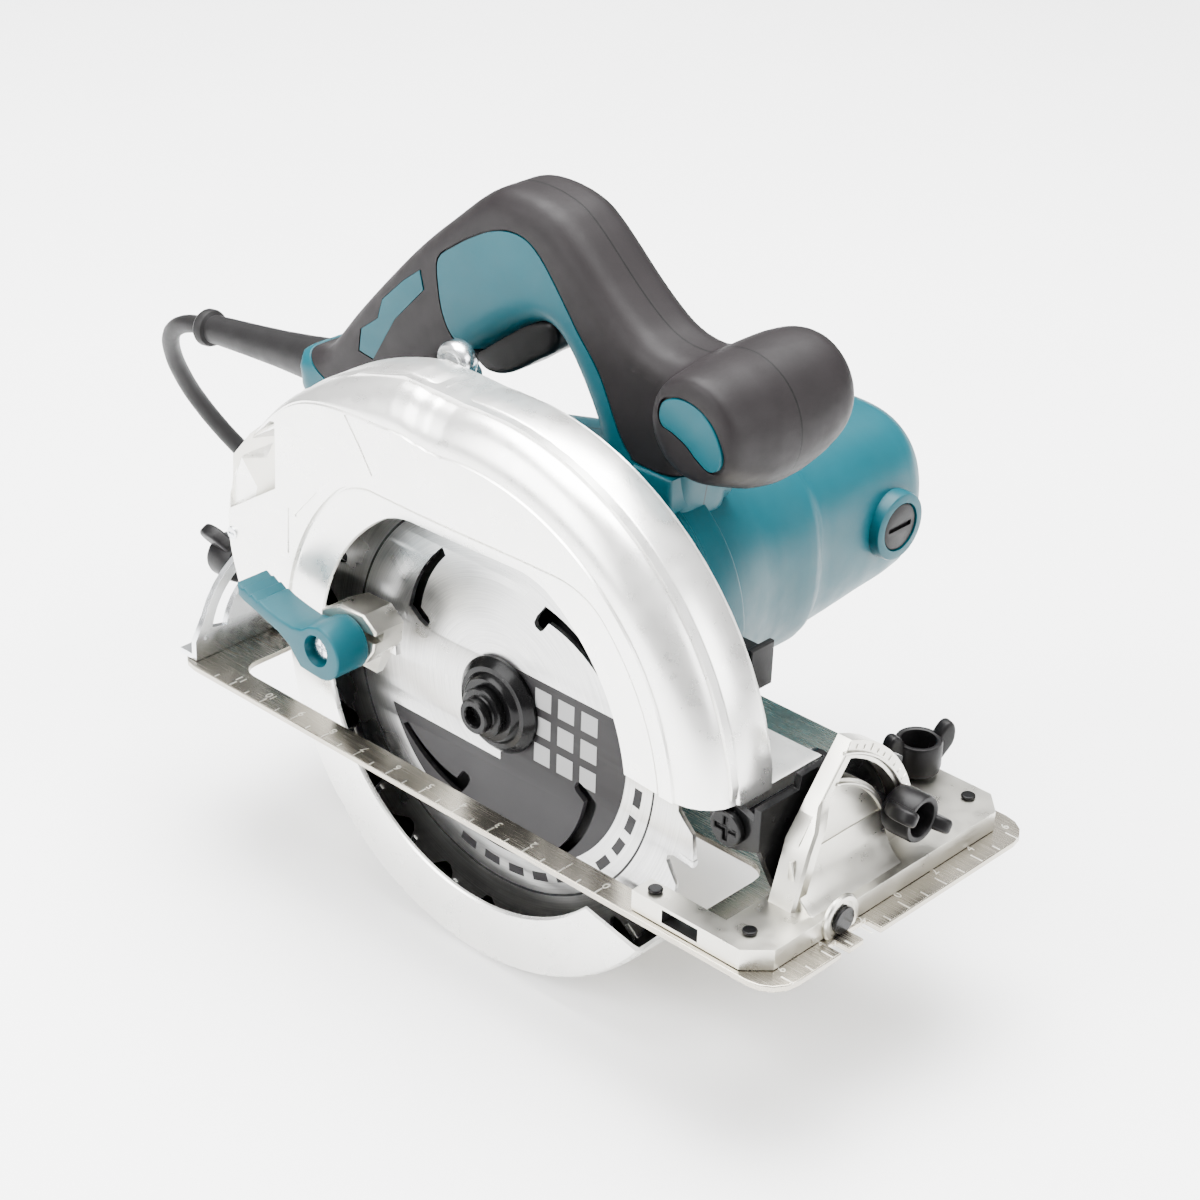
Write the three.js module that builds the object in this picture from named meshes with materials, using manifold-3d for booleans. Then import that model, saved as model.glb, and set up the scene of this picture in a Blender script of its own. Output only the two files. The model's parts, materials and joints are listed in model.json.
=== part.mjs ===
// Circular saw with a 190 mm blade: shoe, bevel carrier, saw body, motor, gears, guards and lead.
// Millimetres. X points forward along the cut, Y towards the motor, Z up.
// The origin is on the shoe's underside, half way across it, straight below the blade's axis.
import * as THREE from 'three';
import { mergeVertices } from 'three/addons/utils/BufferGeometryUtils.js';
import Module from 'manifold-3d';

const wasm = await Module();
wasm.setup();

// ---------------------------------------------------------------- driving dimensions
const GAP = 0.3; // between solids that touch
const THROUGH = 1; // how far a cutter runs past what it cuts
const AROUND = 40; // facets on a large circle
const AROUND_SMALL = 20; // facets on a small circle

const SHOE = { rear: -143, front: 155, side: 69.5, thickness: 2.5, corner: 12 };
const SHOE_OPENING = { rear: -118, front: 108, low: -58, high: -17, corner: 8 };

const BLADE = { x: 0, z: 30, y: -37, radius: 95, thickness: 2, bore: 15.1, teeth: 24 };
const FLANGE_RADIUS = 18.3;
const MOTOR = { x: 4, z: 58.3 };
const GEAR = { module: 1.1, wheelTeeth: 42, pinionTeeth: 10, from: -20.5, to: -10.8 };

const BEVEL = { y: -27, z: 7.5, slotRadius: 47, boltAngle: 22, rearSlotRadius: 29, rearBoltAngle: 116 };
const DEPTH = { x: 111, z: 34, guideRadius: 186, boltAngle: -3, guideFrom: -15, guideTo: -12 };

const CASE = { face: -57, back: -25, wall: 2.5, radius: 114, frontEdge: 40.5, rearEdge: 32.5 };
const CASE_WINDOW = { radius: 74, top: 94.5 };
const LOWER_GUARD = { face: -51, back: -28, radius: 100, faceInner: 76, sheet: 1.8, hub: 26 };
const CASE_BOSS_RADIUS = 25.5;

const HANDLE = { middle: 21, half: 17, wall: 3.5 };
const FRONT_GRIP = { x: 55, z: 141, radius: 24, from: -10, to: 53 };

const CORD_RADIUS = 3.7;
const FLOOR = BLADE.z - LOWER_GUARD.radius;
const PLUG_TAIL = [-141, 103.5, -39];
const COIL = { x: -118, y: 128, middleRadius: 41, turnsAcross: 3, layers: 3 };

// ---------------------------------------------------------------- materials
function material(color, roughness, metalness) {
  return new THREE.MeshStandardMaterial({ color, roughness, metalness });
}

const LOOK = {
  shoeSteel: material(0xb3aa9b, 0.35, 1),
  casting: material(0xd9d8d2, 0.4, 1),
  zinc: material(0xbfc3c6, 0.25, 1),
  blackSteel: material(0x1b1b1c, 0.45, 0.6),
  blackPlastic: material(0x1e1d1f, 0.5, 0),
  tealPlastic: material(0x3f8496, 0.45, 0),
  rubber: material(0x3b383a, 0.75, 0),
  bladeSteel: material(0xb7b7b5, 0.3, 1),
  shaftSteel: material(0x8d9094, 0.3, 1),
  copper: material(0xa8602f, 0.4, 1),
  laminations: material(0x55585c, 0.5, 1),
  brass: material(0xb08d45, 0.35, 1),
  carbon: material(0x26262a, 0.8, 0),
  cord: material(0x222122, 0.65, 0),
};

// ---------------------------------------------------------------- geometry helpers
const radians = THREE.MathUtils.degToRad;

function polar(centreA, centreB, radius, degrees) {
  return [centreA + radius * Math.cos(radians(degrees)), centreB + radius * Math.sin(radians(degrees))];
}

function arc(centreA, centreB, radius, from, to, steps) {
  const points = [];
  for (let i = 0; i <= steps; i += 1) {
    points.push(polar(centreA, centreB, radius, from + ((to - from) * i) / steps));
  }
  return points;
}

// Shared corners only, no collapsed triangles, and faces that point out.
function weld(geometry) {
  const bare = geometry.index ? geometry.toNonIndexed() : geometry.clone();
  bare.deleteAttribute('normal');
  bare.deleteAttribute('uv');
  const welded = mergeVertices(bare, 1e-4);
  const position = welded.attributes.position;
  const corners = [0, 1, 2].map(() => new THREE.Vector3());
  const kept = [];
  let volume = 0;
  for (let i = 0; i < welded.index.count; i += 3) {
    const triangle = [0, 1, 2].map((k) => welded.index.getX(i + k));
    if (new Set(triangle).size < 3) continue;
    kept.push(triangle);
    triangle.forEach((vertex, k) => corners[k].fromBufferAttribute(position, vertex));
    volume += corners[0].dot(corners[1].clone().cross(corners[2]));
  }
  const outward = volume > 0 ? kept : kept.map(([a, b, c]) => [a, c, b]);
  welded.setIndex(outward.flat());
  return welded;
}

function toSolid(geometry) {
  const welded = weld(geometry);
  return new wasm.Manifold(
    new wasm.Mesh({
      numProp: 3,
      vertProperties: new Float32Array(welded.attributes.position.array),
      triVerts: new Uint32Array(welded.index.array),
    }),
  );
}

function toGeometry(solid) {
  const mesh = solid.getMesh();
  const geometry = new THREE.BufferGeometry();
  geometry.setAttribute('position', new THREE.BufferAttribute(new Float32Array(mesh.vertProperties), 3));
  geometry.setIndex(new THREE.BufferAttribute(new Uint32Array(mesh.triVerts), 1));
  return geometry;
}

function cut(body, ...cutters) {
  return toGeometry(cutters.reduce((left, cutter) => left.subtract(toSolid(cutter)), toSolid(body)));
}

function join(first, ...others) {
  return toGeometry(others.reduce((sum, other) => sum.add(toSolid(other)), toSolid(first)));
}

// Points in order, turned to run anticlockwise or clockwise.
function ordered(points, clockwise) {
  const path = points.map(([a, b]) => new THREE.Vector2(a, b));
  return THREE.ShapeUtils.isClockWise(path) === clockwise ? path : path.reverse();
}

function shapeOf(points, holes = []) {
  const shape = new THREE.Shape(ordered(points, false));
  shape.holes = holes.map((hole) => new THREE.Path(ordered(hole, true)));
  return shape;
}

function extrude(points, holes, depth) {
  return new THREE.ExtrudeGeometry(shapeOf(points, holes), { depth, bevelEnabled: false });
}

// A plate whose outline is in X and Z, between two places along Y.
function plateXZ(points, from, to, holes = []) {
  return extrude(points, holes, to - from).rotateX(Math.PI / 2).translate(0, to, 0);
}

// A plate whose outline is in Y and Z, between two places along X.
function plateYZ(points, from, to, holes = []) {
  const turn = new THREE.Matrix4().makeBasis(
    new THREE.Vector3(0, 1, 0),
    new THREE.Vector3(0, 0, 1),
    new THREE.Vector3(1, 0, 0),
  );
  return extrude(points, holes, to - from).applyMatrix4(turn).translate(from, 0, 0);
}

// A plate whose outline is in X and Y, between two heights.
function plateXY(points, from, to, holes = []) {
  return extrude(points, holes, to - from).translate(0, 0, from);
}

function box(low, high) {
  const size = high.map((value, i) => value - low[i]);
  const middle = high.map((value, i) => (value + low[i]) / 2);
  return new THREE.BoxGeometry(...size).translate(...middle);
}

function rodY(radius, from, to, x, z, facets = AROUND_SMALL) {
  return new THREE.CylinderGeometry(radius, radius, to - from, facets).translate(x, (from + to) / 2, z);
}

function rodX(radius, from, to, y, z, facets = AROUND_SMALL) {
  const rod = new THREE.CylinderGeometry(radius, radius, to - from, facets).rotateZ(Math.PI / 2);
  return rod.translate((from + to) / 2, y, z);
}

function rodZ(radius, from, to, x, y, facets = AROUND_SMALL) {
  const rod = new THREE.CylinderGeometry(radius, radius, to - from, facets).rotateX(Math.PI / 2);
  return rod.translate(x, y, (from + to) / 2);
}

// A turned piece: pairs of radius and place along Y, round an axis through x and z.
function turned(profile, x, z, facets = AROUND) {
  const points = profile.map(([radius, along]) => new THREE.Vector2(radius, along));
  return new THREE.LatheGeometry(points, facets).translate(x, 0, z);
}

function ringY(inner, outer, from, to, x, z, facets = AROUND) {
  const profile = [[inner, from], [outer, from], [outer, to], [inner, to], [inner, from]];
  return turned(profile, x, z, facets);
}

function roundedRectangle(lowA, lowB, highA, highB, corner, steps = 4) {
  return [
    ...arc(highA - corner, lowB + corner, corner, -90, 0, steps),
    ...arc(highA - corner, highB - corner, corner, 0, 90, steps),
    ...arc(lowA + corner, highB - corner, corner, 90, 180, steps),
    ...arc(lowA + corner, lowB + corner, corner, 180, 270, steps),
  ];
}

// A slot of even width along an arc, with square ends.
function arcSlot(centreA, centreB, radius, width, from, to, steps = 8) {
  return [
    ...arc(centreA, centreB, radius + width / 2, from, to, steps),
    ...arc(centreA, centreB, radius - width / 2, to, from, steps),
  ];
}

const saw = new THREE.Group();

function add(name, geometry, look) {
  const mesh = new THREE.Mesh(weld(geometry), look);
  mesh.name = name;
  saw.add(mesh);
}

// ---------------------------------------------------------------- shoe and what is fixed to it
function shoeOutline() {
  const { rear, front, side, corner } = SHOE;
  return roundedRectangle(rear, -side, front, side, corner);
}

function shoePlate() {
  const { rear, front, low, high, corner } = SHOE_OPENING;
  const opening = roundedRectangle(rear, low, front, high, corner);
  const plate = plateXY(shoeOutline(), 0, SHOE.thickness, [opening]);
  const squareCut = { y: -34, width: 4, length: 6 };
  const bevelCut = { y: -20, width: 9, length: 7 };
  const notches = [squareCut, bevelCut].map(({ y, width, length }) =>
    box(
      [SHOE.front - length, y - width / 2, -THROUGH],
      [SHOE.front + THROUGH, y + width / 2, SHOE.thickness + THROUGH],
    ),
  );
  return cut(plate, ...notches);
}

const CASTING = { low: SHOE.thickness + GAP, top: 10.5, front: 146, barBack: 124 };
const ARM = { rear: 91, outer: -67.5, inner: -58 };
const FAR_ARM = { rear: 98, inner: 50, outer: 66 };
const RULE_SLOT = { rear: 104.5, front: 120, low: 4.2, high: 9.2 };

// Front bar, two arms that the rule slides through, and the upright bevel quadrant.
function frontCasting() {
  const { low, top, front, barBack } = CASTING;
  const footprint = [
    [ARM.rear, ARM.outer],
    [front - 8, ARM.outer],
    [front, ARM.outer + 8],
    [front, FAR_ARM.outer - 8],
    [front - 8, FAR_ARM.outer],
    [FAR_ARM.rear, FAR_ARM.outer],
    [FAR_ARM.rear, FAR_ARM.inner],
    [barBack, FAR_ARM.inner],
    [barBack, ARM.inner],
    [ARM.rear, ARM.inner],
  ];
  const quadrant = [
    [BEVEL.y - 14, low],
    [BEVEL.y + 60, low],
    ...arc(BEVEL.y, BEVEL.z, 57, 8, 72, 10),
    [BEVEL.y - 6, 32],
  ];
  const slot = arcSlot(BEVEL.y, BEVEL.z, BEVEL.slotRadius, 7, 16, 73);
  const pivotHole = arc(BEVEL.y, BEVEL.z, 3.2, 0, 345, 23);
  const body = join(plateXY(footprint, low, top), plateYZ(quadrant, 126, 132));
  return cut(
    body,
    plateYZ(slot, 125, 133),
    plateYZ(pivotHole, 120, front + THROUGH),
    box(
      [RULE_SLOT.rear, ARM.outer - THROUGH, RULE_SLOT.low],
      [RULE_SLOT.front, FAR_ARM.outer + THROUGH, RULE_SLOT.high],
    ),
  );
}

// Pressed steel upright at the back of the shoe, with its own arc slot.
function rearBevelPlate() {
  const { y, z, rearSlotRadius } = BEVEL;
  const upright = [
    [y - 40, CASTING.low],
    [y + 12, CASTING.low],
    ...arc(y, z, 37, 45, 160, 12),
    [y - 40, CASTING.low + 8],
  ];
  const foot = box([-142, y - 40, CASTING.low], [-133, y + 12, CASTING.low + 2.2]);
  const body = join(plateYZ(upright, -135, -132.5), foot);
  const slot = arcSlot(y, z, rearSlotRadius, 7, 109, 168);
  return cut(
    body,
    plateYZ(slot, -136, -131.5),
    rodX(3.2, -137, -131, y, z),
    rodX(5.4, -143, -135.1, y, z),
  );
}

const RIVETS = {
  rivet_front_arm: [97, -62.5, CASTING.top],
  rivet_front_corner: [134, -58, CASTING.top],
  rivet_front_far: [134, 58, CASTING.top],
  rivet_rear: [-138.3, -48, CASTING.low + 2.2],
};

function rivet([x, y, top]) {
  return rodZ(2.6, top + GAP, top + GAP + 1.2, x, y, 16);
}

// A screw with a plastic wing head; it stands along X.
function wingBolt(from, direction, y, z, shank, tilt) {
  const along = (distance) => from + direction * distance;
  const span = (a, b) => [Math.min(along(a), along(b)), Math.max(along(a), along(b))];
  const stem = rodX(2.6, ...span(-shank, 4), y, z, 16);
  const hub = rodX(8.5, ...span(0, 14), y, z);
  const wingAcross = new THREE.BoxGeometry(12, 24, 6);
  const wing = wingAcross.rotateX(radians(tilt)).translate(along(14), y, z);
  return join(hub, stem, wing);
}

function ruleWingBolt() {
  const bolt = wingBolt(0, 1, 0, 0, 1.2, 73).rotateY(-Math.PI / 2);
  return bolt.translate(111, 58, CASTING.top + GAP + 1.2);
}

// ---------------------------------------------------------------- bevel carrier
const BRACKET = { rear: 120.5, front: 123.3, ear: 9, nearEar: -43, farEar: 1, sheet: 2.8 };

function frontBracket() {
  const { rear, front, ear, nearEar, farEar, sheet } = BRACKET;
  const plate = [
    [nearEar, 31],
    ...arc(BEVEL.y, BEVEL.z, 4.6, 170, 270, 5),
    [30, BEVEL.z - 4.6],
    [32, 34],
    [2, 50],
    [-23, 50],
    [-24, 45],
    [nearEar, 45],
  ];
  const earOutline = [
    ...arc(DEPTH.x, DEPTH.z, ear, 90, 270, 12),
    [front, DEPTH.z - ear + 4],
    [front, DEPTH.z + 5],
  ];
  const [boltY, boltZ] = polar(BEVEL.y, BEVEL.z, BEVEL.slotRadius, BEVEL.boltAngle);
  const body = join(
    plateYZ(plate, rear, front),
    plateXZ(earOutline, nearEar, nearEar + sheet),
    plateXZ(earOutline, farEar, farEar + sheet),
  );
  return cut(
    body,
    rodY(4.3, nearEar - THROUGH, farEar + sheet + THROUGH, DEPTH.x, DEPTH.z),
    rodX(3, rear - THROUGH, front + THROUGH, boltY, boltZ, 16),
    rodX(3.3, rear - THROUGH, front + THROUGH, BEVEL.y, BEVEL.z, 16),
  );
}

// Upright arc that the saw body slides up, with a foot running back to the rear bevel hinge.
function depthGuide() {
  const { x, z, guideRadius, guideFrom, guideTo } = DEPTH;
  const width = 20;
  const top = 180 - 32;
  const bottom = 180 + 9;
  const [endX, endZ] = polar(x, z, guideRadius, top);
  const band = [
    ...arc(x, z, guideRadius + width / 2, bottom, top, 10),
    ...arc(endX, endZ, width / 2, top - 30, top - 150, 4),
    ...arc(x, z, guideRadius - width / 2, top, bottom, 10),
  ];
  const slot = arcSlot(x, z, guideRadius, 9.2, bottom - 4, top - 1, 10);
  const foot = box([-131.8, guideFrom, CASTING.low + 0.4], [-66, guideTo, 15]);
  const flange = [
    ...arc(BEVEL.y, BEVEL.z, 4.3, 200, 270, 4),
    [guideTo, BEVEL.z - 4.3],
    ...arc(BEVEL.y, BEVEL.z, 37, 70, 114, 6),
  ];
  const [boltY, boltZ] = polar(BEVEL.y, BEVEL.z, BEVEL.rearSlotRadius, BEVEL.rearBoltAngle);
  const body = join(
    plateXZ(band, guideFrom, guideTo),
    foot,
    plateYZ(flange, -131.8, -129.3),
  );
  return cut(
    body,
    plateXZ(slot, guideFrom - THROUGH, guideTo + THROUGH),
    rodX(3, -133, -128, boltY, boltZ, 16),
    rodX(3.3, -133, -128, BEVEL.y, BEVEL.z, 16),
  );
}

function bevelPin(from, to, headFrom) {
  return join(
    rodX(2.9, from, to, BEVEL.y, BEVEL.z, 16),
    rodX(5, headFrom, headFrom + 2.4, BEVEL.y, BEVEL.z, 16),
  );
}

// ---------------------------------------------------------------- blade case and gear housing
// Outline of the upper guard, drawn in by a given amount.
function caseOutline(inset) {
  const radius = CASE.radius - inset;
  const start = THREE.MathUtils.radToDeg(Math.asin((CASE.frontEdge - BLADE.z) / radius));
  const rear = [
    [-40, 144.2],
    [-65, 136.9],
    [-94, 120.9],
    [-110, 104],
    [-118, 93],
    [-126, 76],
    [-127, 53],
    [-119, CASE.rearEdge],
  ];
  const drawnIn = rear.map(([x, z]) => {
    const length = Math.hypot(x, z - BLADE.z);
    return [x - (inset * x) / length, z - (inset * (z - BLADE.z)) / length];
  });
  return [...arc(0, BLADE.z, radius, start, 96, 20), ...drawnIn];
}

function windowOutline() {
  const half = Math.acos((CASE_WINDOW.top - BLADE.z) / CASE_WINDOW.radius);
  const cap = 90 - THREE.MathUtils.radToDeg(half);
  return [
    ...arc(0, BLADE.z, CASE_WINDOW.radius, -20, cap, 10),
    ...arc(0, BLADE.z, CASE_WINDOW.radius, 180 - cap, 200, 10),
  ];
}

function bladeCase() {
  const inside = caseOutline(CASE.wall);
  const belowEdge = 30;
  const cavity = [
    ...inside,
    [-119 + CASE.wall, CASE.rearEdge - belowEdge],
    [inside[0][0], CASE.rearEdge - belowEdge],
  ];
  const [boltX, boltZ] = polar(DEPTH.x, DEPTH.z, DEPTH.guideRadius, 180 - DEPTH.boltAngle);
  const shell = cut(
    plateXZ(caseOutline(0), CASE.face, CASE.back),
    plateXZ(cavity, CASE.face + CASE.wall, CASE.back - 2.2),
    plateXZ(windowOutline(), CASE.face - THROUGH, CASE.face + CASE.wall + THROUGH),
    rodY(11, CASE.face - THROUGH, BRACKET.nearEar + BRACKET.sheet + GAP, DEPTH.x, DEPTH.z),
  );
  const rearWall = CASE.back - 2.2;
  const body = join(
    shell,
    plateXZ([[-26, 3.2], [26, 3.2], [34, 60], [-34, 60]], rearWall, CASE.back),
    plateXZ([[-87, 45], [-85, 14], [-64, 14], [-30, 34], [-30, 45]], rearWall, CASE.back),
    rodY(CASE_BOSS_RADIUS, -29.9, CASE.back, BLADE.x, BLADE.z, AROUND),
    rodY(22, -34.4, CASE.back, BLADE.x, BLADE.z, AROUND),
    rodY(17, CASE.back - 0.1, -21.5, BLADE.x, BLADE.z, AROUND),
    rodY(11, rearWall, DEPTH.guideFrom - GAP, boltX, boltZ),
    plateXZ(arc(DEPTH.x, DEPTH.z, 9, 0, 345, 23), BRACKET.nearEar + 3.1, BRACKET.farEar - GAP),
    plateXZ([[83, 42.8], [86, 32], [111, 25.2], [112, 42.8]], rearWall, BRACKET.farEar - GAP),
  );
  return cut(
    body,
    rodY(19.4, -35, -31.3, BLADE.x, BLADE.z, AROUND),
    rodY(14.05, -32, -20, BLADE.x, BLADE.z, AROUND),
    rodY(4.1, rearWall - THROUGH, DEPTH.guideFrom, boltX, boltZ),
    rodY(4.2, BRACKET.nearEar, BRACKET.farEar + THROUGH, DEPTH.x, DEPTH.z),
  );
}

// Cup behind the blade case: wheel and pinion inside, two bearing seats in its end wall.
function gearHousing() {
  const from = CASE.back + GAP;
  const wheelSpace = 26.8;
  const body = join(
    rodY(wheelSpace, from, 0, BLADE.x, BLADE.z, AROUND),
    rodY(48, from, 0, MOTOR.x, MOTOR.z, AROUND),
  );
  const hollow = cut(
    body,
    rodY(24.9, from - THROUGH, -3, BLADE.x, BLADE.z, AROUND),
    rodY(45, from + 3, -3, MOTOR.x, MOTOR.z, AROUND),
    rodY(20, from - THROUGH, -3, MOTOR.x, MOTOR.z, AROUND),
  );
  const seats = join(
    hollow,
    rodY(11, -9.7, -1, BLADE.x, BLADE.z),
    rodY(12.5, -8.5, -1, MOTOR.x, MOTOR.z),
  );
  return cut(
    seats,
    rodY(8.05, -11, -4, BLADE.x, BLADE.z),
    rodY(9.55, -10, -1, MOTOR.x, MOTOR.z),
    rodY(6, -2, 1, MOTOR.x, MOTOR.z),
  );
}

// ---------------------------------------------------------------- motor
const BRUSH = { y: 127, bossReach: 41, bossRadius: 13.5 };
const SHAFT_LOCK = { y: 14, z: 55, from: 63.6, to: 74 };

// Radius and place along Y of the housing's outer surface, from the far end to the gear case.
const MOTOR_OUTSIDE = [
  [29, 152], [33.5, 148.5], [35.5, 127], [38.6, 84], [42, 78], [42.4, 66],
  [44, 50], [50.5, 25], [55, 22.5], [55, CASE.back + GAP],
];

function motorHousing() {
  const inside = [
    [51.5, CASE.back + GAP], [51.5, 20], [47, 24], [40, 50], [38.8, 66], [38.6, 77], [35.6, 84], [32.6, 127],
    [30.8, 148], [13.5, 148], [13.5, 140], [11.05, 140], [11.05, 147.5], [0, 147.5],
  ];
  const barrel = turned([[0, 152], ...MOTOR_OUTSIDE, ...inside], MOTOR.x, MOTOR.z);
  const bosses = [1, -1].map((side) => {
    const near = MOTOR.x + side * 30;
    const far = MOTOR.x + side * BRUSH.bossReach;
    return rodX(BRUSH.bossRadius, Math.min(near, far), Math.max(near, far), BRUSH.y, MOTOR.z);
  });
  const vents = [];
  for (let i = 0; i < 8; i += 1) {
    const slot = new THREE.BoxGeometry(13, 8, 3).translate(22, 150, 0).rotateY((i * Math.PI) / 4);
    vents.push(slot.translate(MOTOR.x, 0, MOTOR.z));
  }
  const reach = BRUSH.bossReach + THROUGH;
  const bore = rodX(9.3, MOTOR.x - reach, MOTOR.x + reach, BRUSH.y, MOTOR.z);
  const lockBore = rodX(3.4, MOTOR.x + 45, MOTOR.x + 60, SHAFT_LOCK.y, SHAFT_LOCK.z, 16);
  const wheelRoom = rodY(27.2, CASE.back, GAP, BLADE.x, BLADE.z, AROUND);
  return cut(join(barrel, ...bosses), bore, lockBore, wheelRoom, ...vents);
}

function brushHolder(side) {
  const from = MOTOR.x + side * 14;
  const to = MOTOR.x + side * 36;
  const [low, high] = [Math.min(from, to), Math.max(from, to)];
  const tube = box([low, BRUSH.y - 6, MOTOR.z - 5], [high, BRUSH.y + 6, MOTOR.z + 5]);
  const bore = box(
    [low - THROUGH, BRUSH.y - 4.4, MOTOR.z - 3.4],
    [high + THROUGH, BRUSH.y + 4.4, MOTOR.z + 3.4],
  );
  return cut(tube, bore);
}

function brush(side) {
  const from = MOTOR.x + side * 12.5;
  const to = MOTOR.x + side * 30;
  return box(
    [Math.min(from, to), BRUSH.y - 4, MOTOR.z - 3],
    [Math.max(from, to), BRUSH.y + 4, MOTOR.z + 3],
  );
}

function brushCap(side) {
  const from = MOTOR.x + side * 37;
  const to = MOTOR.x + side * 40.4;
  const cap = rodX(9, Math.min(from, to), Math.max(from, to), BRUSH.y, MOTOR.z);
  const outer = MOTOR.x + side * 40.4;
  const slot = new THREE.BoxGeometry(1.6, 9, 1.8).translate(outer, BRUSH.y, MOTOR.z);
  return cut(cap, slot);
}

// Straight-flanked teeth, thin enough to run free; toothAt is the angle of one tooth.
function gearOutline(teeth, toothAt) {
  const pitch = (GEAR.module * teeth) / 2;
  const tip = pitch + 0.75 * GEAR.module;
  const root = pitch - 1.05 * GEAR.module;
  const step = 360 / teeth;
  const points = [];
  for (let i = 0; i < teeth; i += 1) {
    const middle = toothAt + i * step;
    const atRoot = 0.27 * step;
    const atTip = 0.1 * step;
    points.push(polar(0, 0, root, middle - atRoot), polar(0, 0, tip, middle - atTip));
    points.push(polar(0, 0, tip, middle + atTip), polar(0, 0, root, middle + atRoot));
  }
  return points;
}

const centreLine = THREE.MathUtils.radToDeg(Math.atan2(MOTOR.z - BLADE.z, MOTOR.x - BLADE.x));

function driveWheel() {
  const outline = gearOutline(GEAR.wheelTeeth, centreLine);
  const wheel = plateXZ(outline, GEAR.from, GEAR.to, [arc(0, 0, 7.15, 0, 345, 23)]);
  return wheel.translate(BLADE.x, 0, BLADE.z);
}

function armatureShaft() {
  const halfStep = 180 / GEAR.pinionTeeth;
  const outline = gearOutline(GEAR.pinionTeeth, centreLine + 180 + halfStep);
  const pinion = plateXZ(outline, GEAR.from, GEAR.to + 0.5).translate(MOTOR.x, 0, MOTOR.z);
  return join(rodY(5, GEAR.to, 146.5, MOTOR.x, MOTOR.z), pinion);
}

function fan() {
  const blades = 12;
  const outline = [];
  for (let i = 0; i < blades; i += 1) {
    const middle = (i * 360) / blades;
    outline.push(polar(MOTOR.x, MOTOR.z, 13, middle - 6), polar(MOTOR.x, MOTOR.z, 44, middle + 8));
    outline.push(polar(MOTOR.x, MOTOR.z, 44, middle + 11), polar(MOTOR.x, MOTOR.z, 13, middle + 6));
  }
  const disc = rodY(44, 4, 6, MOTOR.x, MOTOR.z, AROUND);
  return cut(join(disc, plateXZ(outline, 5.9, 17)), rodY(5.15, 3, 18, MOTOR.x, MOTOR.z));
}

// ---------------------------------------------------------------- spindle and blade
function spindle() {
  const profile = [
    [0, -4.6], [4.8, -4.6], [4.8, -10.4], [7, -10.6], [7, -21.4], [8, -21.6], [8, -37.7],
    [5.2, -37.7], [5.2, -23], [0, -23],
  ];
  return turned(profile, BLADE.x, BLADE.z, AROUND_SMALL);
}

function innerFlange() {
  const profile = [
    [8.15, -31.6], [FLANGE_RADIUS, -31.6], [FLANGE_RADIUS, -35.7], [14.8, -35.7], [14.8, -38],
    [8.15, -38], [8.15, -31.6],
  ];
  return turned(profile, BLADE.x, BLADE.z);
}

function outerFlange() {
  const profile = [
    [5.3, -38.3], [FLANGE_RADIUS, -38.3], [FLANGE_RADIUS, -40], [FLANGE_RADIUS - 2.5, -42],
    [12.5, -42], [12, -44.5], [5.3, -44.5], [5.3, -38.3],
  ];
  return turned(profile, BLADE.x, BLADE.z);
}

function bladeBolt() {
  const profile = [
    [0, -24], [4.9, -24], [4.9, -44.8], [9.3, -44.8], [9.3, -48], [6.5, -48.4], [6.5, -52], [0, -52],
  ];
  const socket = rodY(3.9, -53, -48, BLADE.x, BLADE.z, 6);
  return cut(turned(profile, BLADE.x, BLADE.z, AROUND_SMALL), socket);
}

function bladeOutline() {
  const points = [];
  const step = 360 / BLADE.teeth;
  for (let i = 0; i < BLADE.teeth; i += 1) {
    const start = i * step;
    points.push(polar(0, 0, BLADE.radius, start));
    points.push(polar(0, 0, BLADE.radius - 3, start + 0.5 * step));
    points.push(polar(0, 0, BLADE.radius - 11, start + 0.72 * step));
    points.push(polar(0, 0, BLADE.radius - 11.5, start + 0.9 * step));
  }
  return points;
}

// Hooked relief slots between the arbor and the rim.
function reliefSlot(turn) {
  return [
    ...arc(0, 0, 55, turn, turn + 38, 6),
    polar(0, 0, 42.5, turn + 41),
    polar(0, 0, 42.5, turn + 32),
    polar(0, 0, 49.5, turn + 32),
    ...arc(0, 0, 49.5, turn + 28, turn + 1, 4),
  ];
}

function blade() {
  const slots = [32, 122, 212, 302].map(reliefSlot);
  const holes = [arc(0, 0, BLADE.bore, 0, 352.5, AROUND - 1), ...slots];
  const half = BLADE.thickness / 2;
  const disc = plateXZ(bladeOutline(), BLADE.y - half + GAP / 2, BLADE.y + half, holes);
  return disc.translate(BLADE.x, 0, BLADE.z);
}

// ---------------------------------------------------------------- lower guard
const LEVER = { x: -52, z: 45, from: -78, to: -63.3 };

function lowerGuard() {
  const { face, back, radius, faceInner, sheet, hub } = LOWER_GUARD;
  const profile = [
    [faceInner, face], [radius, face], [radius, back], [hub, back], [hub, back - sheet],
    [radius - sheet, back - sheet], [radius - sheet, face + sheet], [faceInner, face + sheet],
    [faceInner, face],
  ];
  const drum = turned(profile, BLADE.x, BLADE.z, 72);
  const open = [...arc(0, BLADE.z, 110, -33, 174, 14), ...arc(0, BLADE.z, 34, 170, -30, 12)];
  const arm = [[-88, 22], [-86, 41], [-66, 42], [-58, 54], [-42, 54], [-40, 37.5], [-62, 37.5], [-70, 20]];
  const block = [[-60, 37.5], [-60, 44], [-53, 53], [-44, 54], [-41, 44], [-43, 37.5]];
  const body = join(
    cut(drum, plateXZ(open, face - THROUGH, back + THROUGH)),
    plateXZ(arm, face, face + 3),
    plateXZ(block, LEVER.to + GAP, face + 2),
  );
  return cut(body, rodY(2.6, LEVER.to, face - 3, LEVER.x, LEVER.z, 16));
}

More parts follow.
